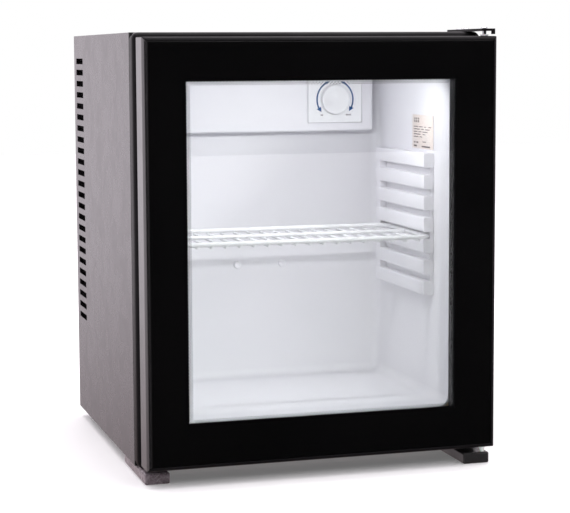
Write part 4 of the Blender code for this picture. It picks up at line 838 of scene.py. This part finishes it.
def makeEvaporatorCover():
    low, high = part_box("evaporator_cover")
    bm = bmesh.new()
    cuboid(bm, low, high, coverLook["edge"], coverLook["segments"])
    mesh = finishMesh(bm, 40.0)
    return addPiece("evaporator_cover_moulded", mesh, "cabinet", "white_liner",
                    ["evaporator_cover"])


def flatShape(outline, y, depth):
    # an outline of (x, z) points made a thin plate whose face looks at -Y
    bm = bmesh.new()
    near = [bm.verts.new((x, y, z)) for x, z in outline]
    face = bm.faces.new(near)
    made = bmesh.ops.extrude_face_region(bm, geom=[face])["geom"]
    for vert in [item for item in made if isinstance(item, bmesh.types.BMVert)]:
        vert.co.y -= depth
    return bm


def flatBar(x0, x1, z0, z1, y, depth):
    return flatShape([(x0, z0), (x1, z0), (x1, z1), (x0, z1)], y, depth)


def arcOutline(centre, radius, width, start, end, steps=28):
    angles = [math.radians(start + (end - start) * i / steps) for i in range(steps + 1)]
    outer = [(centre[0] + (radius + width / 2) * math.cos(a),
              centre[1] + (radius + width / 2) * math.sin(a)) for a in angles]
    inner = [(centre[0] + (radius - width / 2) * math.cos(a),
              centre[1] + (radius - width / 2) * math.sin(a)) for a in angles]
    return outer + inner[::-1]


def joinMeshes(bms):
    whole = bmesh.new()
    for part in bms:
        step = bpy.data.meshes.new("step")
        part.to_mesh(step)
        part.free()
        whole.from_mesh(step)
        bpy.data.meshes.remove(step)
    return whole


def makeDial():
    low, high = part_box("dial_plate")
    knobLow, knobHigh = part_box("thermostat_knob")
    centre = ((knobLow.x + knobHigh.x) / 2, (knobLow.z + knobHigh.z) / 2)
    face = low.y + 0.00005
    shapes = []
    for start, end in (dialLook["leftArc"], dialLook["rightArc"]):
        shapes.append(flatShape(arcOutline(centre, dialLook["arc"], dialLook["arcWidth"],
                                           start, end), face, dialLook["ink"]))
        turn = 1 if end > start else -1
        angle = math.radians(end)
        tip = math.radians(end + turn * dialLook["arrowTurn"])
        size = dialLook["arrow"] / 2
        arc = dialLook["arc"]
        head = [(centre[0] + (arc + size) * math.cos(angle),
                 centre[1] + (arc + size) * math.sin(angle)),
                (centre[0] + arc * math.cos(tip), centre[1] + arc * math.sin(tip)),
                (centre[0] + (arc - size) * math.cos(angle),
                 centre[1] + (arc - size) * math.sin(angle))]
        shapes.append(flatShape(head, face, dialLook["ink"]))
    addPiece("dial_arrows", finishMesh(joinMeshes(shapes)), "cabinet", "white_coating",
             material=inkFinish)
    # a thin grey line along the edges of the plate face: painted shade of the plate edge
    edge = dialLook["outline"]
    outline = []
    for x0, x1, z0, z1 in ((low.x, high.x, low.z, low.z + edge),
                           (low.x, high.x, high.z - edge, high.z),
                           (low.x, low.x + edge, low.z, high.z),
                           (high.x - edge, high.x, low.z, high.z)):
        outline.append(flatBar(x0, x1, z0, z1, face, dialLook["ink"]))
    addPiece("dial_plate_edge_shade", finishMesh(joinMeshes(outline)), "cabinet", "white_coating",
             material=shadowInk)
    marks = []
    for side, count in ((-1, 2), (1, 4)):   # fewer and more bars for warmer and colder
        for index in range(count):
            x = (centre[0] + side * dialLook["markReach"]
                 + (index - (count - 1) / 2) * dialLook["markPitch"])
            z = centre[1] - dialLook["markDrop"]
            wide, tall = dialLook["markWide"], dialLook["markTall"]
            marks.append(flatBar(x - wide, x + wide, z - tall, z + tall, face,
                                 dialLook["ink"]))
    addPiece("dial_marks", finishMesh(joinMeshes(marks)), "cabinet", "white_coating",
             material=greyInk)


def makeKnob():
    low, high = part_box("thermostat_knob")
    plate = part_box("dial_plate")[0].y
    centre = middleOf(low, high, y=plate)
    radius = (high.x - low.x) / 2
    front = plate - low.y
    profile = [(0.0, front - 0.0004), (radius * 0.80, front - 0.0004), (radius * 0.84, front),
               (radius - 0.0010, front), (radius - 0.0003, front - 0.0003),
               (radius, front - 0.0010), (radius, 0.0014), (radius - 0.0012, 0.0006),
               (radius - 0.0012, 0.0003), (0.0, 0.0003)]
    knob = spun(profile, centre, "-Y", 64)
    addPiece("thermostat_knob_turned", knob, "knob", "white_coating", ["thermostat_knob"])
    # a thin grey ring just outside the knob: painted shade of the gap round it
    ring = [(radius + 0.0002, 0.0), (radius + 0.0008, 0.0), (radius + 0.0008, 0.00018),
            (radius + 0.0002, 0.00018), (radius + 0.0002, 0.0)]
    addPiece("knob_edge_shade", spun(ring, centre - Vector((0, 0.00002, 0)), "-Y", 64), "cabinet",
             "white_coating", material=shadowInk)


labelLook = {"firstRow": 0.34, "rowPitch": 0.075, "rowHeight": 0.026,
             "rows": [[(0.08, 0.28), (0.34, 0.50), (0.58, 0.66), (0.78, 0.90)],
                      [(0.08, 0.36), (0.44, 0.56), (0.62, 0.84)],
                      [(0.08, 0.24), (0.30, 0.44), (0.50, 0.74)],
                      [(0.08, 0.40), (0.50, 0.62)], [(0.08, 0.30), (0.36, 0.48)]],
             "blocks": [(0.08, 0.16, 0.80, 0.84), (0.20, 0.30, 0.80, 0.84),
                        (0.50, 0.66, 0.78, 0.81), (0.08, 0.22, 0.90, 0.95),
                        (0.46, 0.86, 0.91, 0.955)]}


def makeLabel():
    low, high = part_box("rating_label")
    length, height = high.y - low.y, high.z - low.z
    bars = bmesh.new()

    def bar(start, end, top, bottom):
        # measured from the rear upper corner of the card, as shares of its sides
        cuboid(bars, (low.x - 0.00008, high.y - end * length, high.z - bottom * height),
               (low.x + 0.00005, high.y - start * length, high.z - top * height))

    for column in range(3):
        bar(0.10 + 0.09 * column, 0.15 + 0.09 * column, 0.09, 0.14)
        bar(0.10 + 0.09 * column, 0.15 + 0.09 * column, 0.16, 0.23)
    for row, ends in enumerate(labelLook["rows"]):
        top = labelLook["firstRow"] + row * labelLook["rowPitch"]
        for start, end in ends:
            bar(start, end, top, top + labelLook["rowHeight"])
    for start, end, top, bottom in labelLook["blocks"]:
        bar(start, end, top, bottom)
    addPiece("label_bars", finishMesh(bars), "cabinet", "label_paper", material=greyInk)
    card = bmesh.new()
    cuboid(card, low, high, 0.00015, 2)
    addPiece("rating_label_card", finishMesh(card), "cabinet", "label_paper", ["rating_label"])


makeEvaporatorCover()
makeDial()
makeKnob()
makeLabel()
print("evaporator cover, dial and label done")


# ---- hinge bushes, rear feet and wall plugs, turned fine ----

def makeTurnedSmall():
    for node in ("upper_hinge_bush", "lower_hinge_bush"):
        low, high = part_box(node)
        centre = middleOf(low, high, z=0.0)
        flange = (high.x - low.x) / 2
        bore, stem = 0.0025, 0.0036
        if node.startswith("upper"):
            profile = [(bore, high.z), (flange - 0.0004, high.z), (flange, high.z - 0.0004),
                       (flange, high.z - 0.0014), (stem, high.z - 0.0015), (stem, low.z + 0.0004),
                       (stem - 0.0004, low.z), (bore, low.z), (bore, high.z)]
        else:
            under = door["bottom"]
            profile = [(bore, high.z), (stem - 0.0004, high.z), (stem, high.z - 0.0004),
                       (stem, under - 0.0003), (flange, under - 0.0003),
                       (flange, under - 0.0018), (flange * 0.68, under - 0.0036),
                       (flange * 0.62, low.z + 0.0012), (flange * 0.66, low.z + 0.0003),
                       (flange * 0.62, low.z), (bore, low.z), (bore, high.z)]
        addPiece(node + "_turned", spun(profile, centre, "Z", 40), "door", "white_nylon", [node])
    for node in ("rear_foot_left", "rear_foot_right"):
        low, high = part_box(node)
        centre = middleOf(low, high, z=0.0)
        radius = (high.x - low.x) / 2
        profile = [(0.0, high.z), (radius - 0.0008, high.z), (radius, high.z - 0.0008),
                   (radius, 0.0070), (radius - 0.0012, 0.0062), (radius - 0.0012, 0.0050),
                   (radius, 0.0042), (radius - 0.0002, 0.0012), (radius - 0.0014, 0.0), (0.0, 0.0)]
        addPiece(node + "_turned", spun(profile, centre, "Z", 48), "cabinet", "black_plastic",
                 [node])
    for node in ("wall_plug_1", "wall_plug_2"):
        low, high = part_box(node)
        centre = middleOf(low, high, y=high.y)
        radius, height = (high.x - low.x) / 2, high.y - low.y
        profile = [(0.0, height * 0.72), (radius * 0.35, height * 0.78), (radius * 0.55, height),
                   (radius * 0.75, height * 0.96), (radius * 0.95, height * 0.5), (radius, 0.0003),
                   (radius, 0.0), (0.0, 0.0)]
        addPiece(node + "_turned", spun(profile, centre, "-Y", 32), "cabinet", "white_liner",
                 [node])


makeTurnedSmall()


# ---- screws: one rule-made head and shank, set where each screw sits ----

screwLook = {"crossWidth": 0.22, "crossReach": 0.62, "crossDepth": 0.55}


def screwTree():
    tree, given = newGeometryTree("crossScrew", {
        "Radius": 0.004, "Height": 0.0016, "Shank Radius": 0.0016, "Shank Length": 0.0026,
        "Cross Width": 0.22, "Cross Reach": 0.62, "Cross Depth": 0.55})
    ball = put(tree, "GeometryNodeMeshUVSphere", {"Segments": 24, "Rings": 12,
                                                  "Radius": 1.0}).outputs[0]
    dome = moved(tree, ball, scale=vector(tree, given["Radius"], given["Radius"],
                                          given["Height"]))
    lower = put(tree, "GeometryNodeMeshCube", {"Size": vector(tree, 0.05, 0.05, 0.05)}).outputs[0]
    lower = moved(tree, lower, vector(tree, 0.0, 0.0, -0.025))
    reach = calc(tree, "MULTIPLY", calc(tree, "MULTIPLY", given["Radius"], given["Cross Reach"]),
                 2.0)
    width = calc(tree, "MULTIPLY", given["Radius"], given["Cross Width"])
    deep = calc(tree, "MULTIPLY", given["Height"], given["Cross Depth"])
    cutters = [lower]
    for size in (vector(tree, reach, width, deep), vector(tree, width, reach, deep)):
        bar = put(tree, "GeometryNodeMeshCube", {"Size": size}).outputs[0]
        cutters.append(moved(tree, bar, vector(tree, 0.0, 0.0, given["Height"])))
    head = put(tree, "GeometryNodeMeshBoolean", {0: dome}, operation="DIFFERENCE")
    for cutter in cutters:
        tree.links.new(cutter, head.inputs[1])
    half = calc(tree, "MULTIPLY", given["Shank Length"], -0.5)
    shank = put(tree, "GeometryNodeMeshCylinder", {"Vertices": 14, "Radius": given["Shank Radius"],
                                                   "Depth": given["Shank Length"]}).outputs[0]
    shank = moved(tree, shank, vector(tree, 0.0, 0.0, half))
    one = joined(tree, [head.outputs[0], shank])
    spots = put(tree, "GeometryNodeInstanceOnPoints", {0: given["Geometry"],
                                                       "Instance": one}).outputs[0]
    closeTree(tree, spots, given)
    return tree


def makeScrews():
    tree = screwTree()
    # nodes, body, axis, head radius and height, shank radius and length
    kinds = {
        "rear_cover_screws": (["rear_cover_screw_%d" % n for n in (1, 2, 3, 4)], "cabinet", "Y",
                              0.0040, 0.0016, 0.0016, 0.0022),
        "hinge_plate_screws": (["hinge_plate_screw_1", "hinge_plate_screw_2"], "cabinet", "Z",
                               0.0036, 0.0016, 0.0018, 0.0040),
        "inner_frame_screws": (["inner_frame_screw_1", "inner_frame_screw_2"], "door", "Y",
                               0.0025, 0.0015, 0.00125, 0.0014)}
    for name, (nodes, body, axis, radius, height, shank, length) in kinds.items():
        spots = bpy.data.meshes.new("spots")
        turn = Matrix.Rotation(-math.pi / 2, 4, "X") if axis == "Y" else Matrix.Identity(4)
        places = []
        for node in nodes:
            low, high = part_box(node)
            seat = middleOf(low, high)
            if axis == "Y":
                seat.y = high.y - height
            else:
                seat.z = high.z - height
            places.append(turn.inverted() @ seat)
        spots.from_pydata(places, [], [])
        mesh = runTree(tree, {"Radius": radius, "Height": height, "Shank Radius": shank,
                              "Shank Length": length, "Cross Width": screwLook["crossWidth"],
                              "Cross Reach": screwLook["crossReach"],
                              "Cross Depth": screwLook["crossDepth"]},
                       finish["bright_steel"], spots, 30.0)
        mesh.transform(turn)
        addPiece(name, mesh, body, "bright_steel", nodes)


makeScrews()
print("turned pieces and screws done")


# ---- cooling unit ----

finLook = {"count": 16, "size": 0.040, "thickness": 0.0008, "pipe": 0.007}


def finTree():
    tree, given = newGeometryTree("finnedPipe", {
        "Length": 0.2, "Pipe Radius": 0.007, "Fins": 16, "Fin Size": 0.04,
        "Fin Thickness": 0.001})
    pipe = rodAlong(tree, vector(tree), vector(tree, given["Length"], 0.0, 0.0),
                    given["Pipe Radius"], 24)
    outline = put(tree, "GeometryNodeCurvePrimitiveQuadrilateral",
                  {"Width": given["Fin Size"], "Height": given["Fin Size"]}).outputs[0]
    soft = put(tree, "GeometryNodeFilletCurve", {0: outline, "Radius": 0.004, "Count": 3},
               mode="POLY").outputs[0]
    line = put(tree, "GeometryNodeCurvePrimitiveLine", {
        "Start": vector(tree), "End": vector(tree, given["Fin Thickness"], 0.0, 0.0)}).outputs[0]
    fin = put(tree, "GeometryNodeCurveToMesh", {0: line, 1: soft, "Fill Caps": True}).outputs[0]
    collar = rodAlong(tree, vector(tree), vector(tree, 0.003, 0.0, 0.0),
                      calc(tree, "MULTIPLY", given["Pipe Radius"], 1.2), 20)
    span = calc(tree, "SUBTRACT", given["Length"],
                calc(tree, "MULTIPLY", given["Pipe Radius"], 2.0))
    step = calc(tree, "DIVIDE", span, calc(tree, "SUBTRACT", given["Fins"], 1.0))
    row = put(tree, "GeometryNodeMeshLine", {
        "Count": given["Fins"], "Start Location": vector(tree, given["Pipe Radius"], 0.0, 0.0),
        "Offset": vector(tree, step, 0.0, 0.0)}).outputs[0]
    fins = put(tree, "GeometryNodeInstanceOnPoints", {0: row, "Instance": joined(
        tree, [fin, collar])}).outputs[0]
    closeTree(tree, joined(tree, [pipe, fins]), given)
    return tree


def makeCoolingUnit():
    low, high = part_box("condenser")
    mesh = runTree(finTree(), {"Length": high.x - low.x, "Pipe Radius": finLook["pipe"],
                               "Fins": finLook["count"], "Fin Size": finLook["size"],
                               "Fin Thickness": finLook["thickness"]}, finish["black_pipe"])
    mesh.transform(Matrix.Translation(middleOf(low, high, x=low.x)))
    addPiece("condenser_finned", mesh, "cabinet", "black_pipe", ["condenser"])
    for node in ("absorber_coil", "liquid_pipe", "vapour_pipe", "absorber_vessel", "boiler_can",
                 "heater_cartridge", "evaporator_plate"):
        softened(node, "cabinet", 0.0, 2, 50.0)
    low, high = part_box("boiler_can")
    centre = middleOf(low, high, z=0.0)
    radius = (high.x - low.x) / 2
    bands = []
    for share in (0.12, 0.5, 0.88):
        z = low.z + (high.z - low.z) * share
        profile = [(radius + 0.0001, z - 0.006), (radius + 0.0008, z - 0.0056),
                   (radius + 0.0008, z + 0.0056), (radius + 0.0001, z + 0.006),
                   (radius - 0.0006, z + 0.006), (radius - 0.0006, z - 0.006),
                   (radius + 0.0001, z - 0.006)]
        bands.append(spun(profile, centre, "Z", 48))
    whole = bmesh.new()
    for band in bands:
        whole.from_mesh(band)
    addPiece("boiler_straps", finishMesh(whole), "cabinet", "bright_steel")


makeCoolingUnit()
print("cooling unit done")


# ---- light, floor and camera ----

def addLamp(name, place, target, size, power):
    lamp = bpy.data.lights.new(name, "AREA")
    lamp.shape = "RECTANGLE"
    lamp.size, lamp.size_y = size
    lamp.energy = power
    holder = bpy.data.objects.new(name, lamp)
    holder.location = place
    aim = Vector(target) - Vector(place)
    holder.rotation_euler = aim.to_track_quat("-Z", "Y").to_euler()
    scene.collection.objects.link(holder)
    return holder


studio = {"backdrop": 1.0, "floor": (0.92, 0.92, 0.92), "floorLift": 0.13, "dark": 0.012,
          "bright": 1.22, "highTint": (0.98, 0.91, 0.97, 1.0), "lowTint": (0.26, 0.20, 0.20, 1.0)}


# place, target, size and power of each lamp
softboxes = {"key_softbox": ((-1.5, -2.0, 2.2), (0, 0, 0.2), (1.6, 1.6), 8),
             "front_softbox": ((0.5, -2.6, 1.7), (0, 0, 0.25), (1.6, 0.8), 17),
             "fill_softbox": ((1.9, -1.4, 1.9), (0, 0, 0.2), (1.4, 1.4), 12),
             "overhead_softbox": ((0, 0.3, 3.0), (0, 0.3, 0), (3.0, 3.0), 60)}


def makeStudio():
    scene.view_settings.view_transform = "Standard"
    world = bpy.data.worlds.new("studio")
    scene.world = world
    world.use_nodes = True
    tree = world.node_tree
    tree.nodes.clear()
    way = put(tree, "ShaderNodeSeparateXYZ",
              {0: put(tree, "ShaderNodeTexCoord").outputs["Generated"]}).outputs
    sideways = ramp(tree, calc(tree, "ABSOLUTE", way[0]), 0.75, 0.97)
    above = ramp(tree, way[2], 0.25, 0.8)
    behind = ramp(tree, way[1], 0.0, 0.4)
    soft = calc(tree, "MAXIMUM", calc(tree, "MAXIMUM", sideways, above), behind)
    level = ramp(tree, soft, 0.0, 1.0, studio["dark"], studio["bright"])
    tint = put(tree, "ShaderNodeMix", {"Factor": ramp(tree, way[2], -0.32, -0.06),
                                       6: studio["lowTint"], 7: studio["highTint"]},
               data_type="RGBA").outputs[2]
    seen = put(tree, "ShaderNodeLightPath").outputs["Is Camera Ray"]
    lit = put(tree, "ShaderNodeBackground", {0: tint, 1: level})
    plain = put(tree, "ShaderNodeBackground", {0: (1, 1, 1, 1), 1: studio["backdrop"]})
    mixed = put(tree, "ShaderNodeMixShader", {0: seen, 1: lit.outputs[0], 2: plain.outputs[0]})
    put(tree, "ShaderNodeOutputWorld", {0: mixed.outputs[0]})
    bm = bmesh.new()
    cuboid(bm, (-6, -6, -0.02), (6, 6, 0.0))
    mesh = finishMesh(bm)
    mesh.materials.append(skinFinish("finish_floor", {
        "base": studio["floor"], "drift": (0.84, 0.84, 0.84), "rough": 0.6, "peel": 0.0,
        "driftScale": 2.0, "specks": 0.0, "dust": 0.0}))
    paper = mesh.materials[0].node_tree.nodes["Principled BSDF"]
    paper.inputs["Emission Color"].default_value = (1, 1, 1, 1)
    paper.inputs["Emission Strength"].default_value = studio["floorLift"]
    floor = bpy.data.objects.new("studio_floor", mesh)
    scene.collection.objects.link(floor)
    floor.visible_glossy = False
    for lampName, settings in softboxes.items():
        addLamp(lampName, *settings)
    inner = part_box("inner_liner")
    glow = addLamp("cabinet_glow", (0, inner[0].y + 0.012, inner[1].z - 0.012),
                   (0, inner[1].y - 0.03, inner[0].z + 0.05), (0.26, 0.012), 0.50)
    glow.visible_camera = False
    glow.visible_glossy = False
    glow.visible_transmission = False


lens = {"place": (-0.57269, -1.93024, 0.46122), "yaw": 16.382, "pitch": -5.834,
        "roll": -0.324, "focal": 106.83, "shiftX": 0.03, "shiftY": -0.05}


def makeCamera():
    yaw, pitch, roll = (math.radians(lens[key]) for key in ("yaw", "pitch", "roll"))
    ahead = Vector((math.sin(yaw) * math.cos(pitch), math.cos(yaw) * math.cos(pitch),
                    math.sin(pitch)))
    right = Vector((math.cos(yaw), -math.sin(yaw), 0.0))
    up = right.cross(ahead)
    across = right * math.cos(roll) + up * math.sin(roll)
    upward = up * math.cos(roll) - right * math.sin(roll)
    camera = bpy.data.objects.new("camera", bpy.data.cameras.new("camera"))
    camera.matrix_world = Matrix(((across.x, upward.x, -ahead.x, lens["place"][0]),
                                  (across.y, upward.y, -ahead.y, lens["place"][1]),
                                  (across.z, upward.z, -ahead.z, lens["place"][2]),
                                  (0, 0, 0, 1)))
    camera.data.lens = lens["focal"]
    camera.data.sensor_width = 36.0
    camera.data.sensor_fit = "HORIZONTAL"
    camera.data.shift_x = lens["shiftX"]
    camera.data.shift_y = lens["shiftY"]
    camera.data.clip_end = 50.0
    scene.collection.objects.link(camera)
    scene.camera = camera


makeStudio()
makeCamera()
print("studio and camera done")
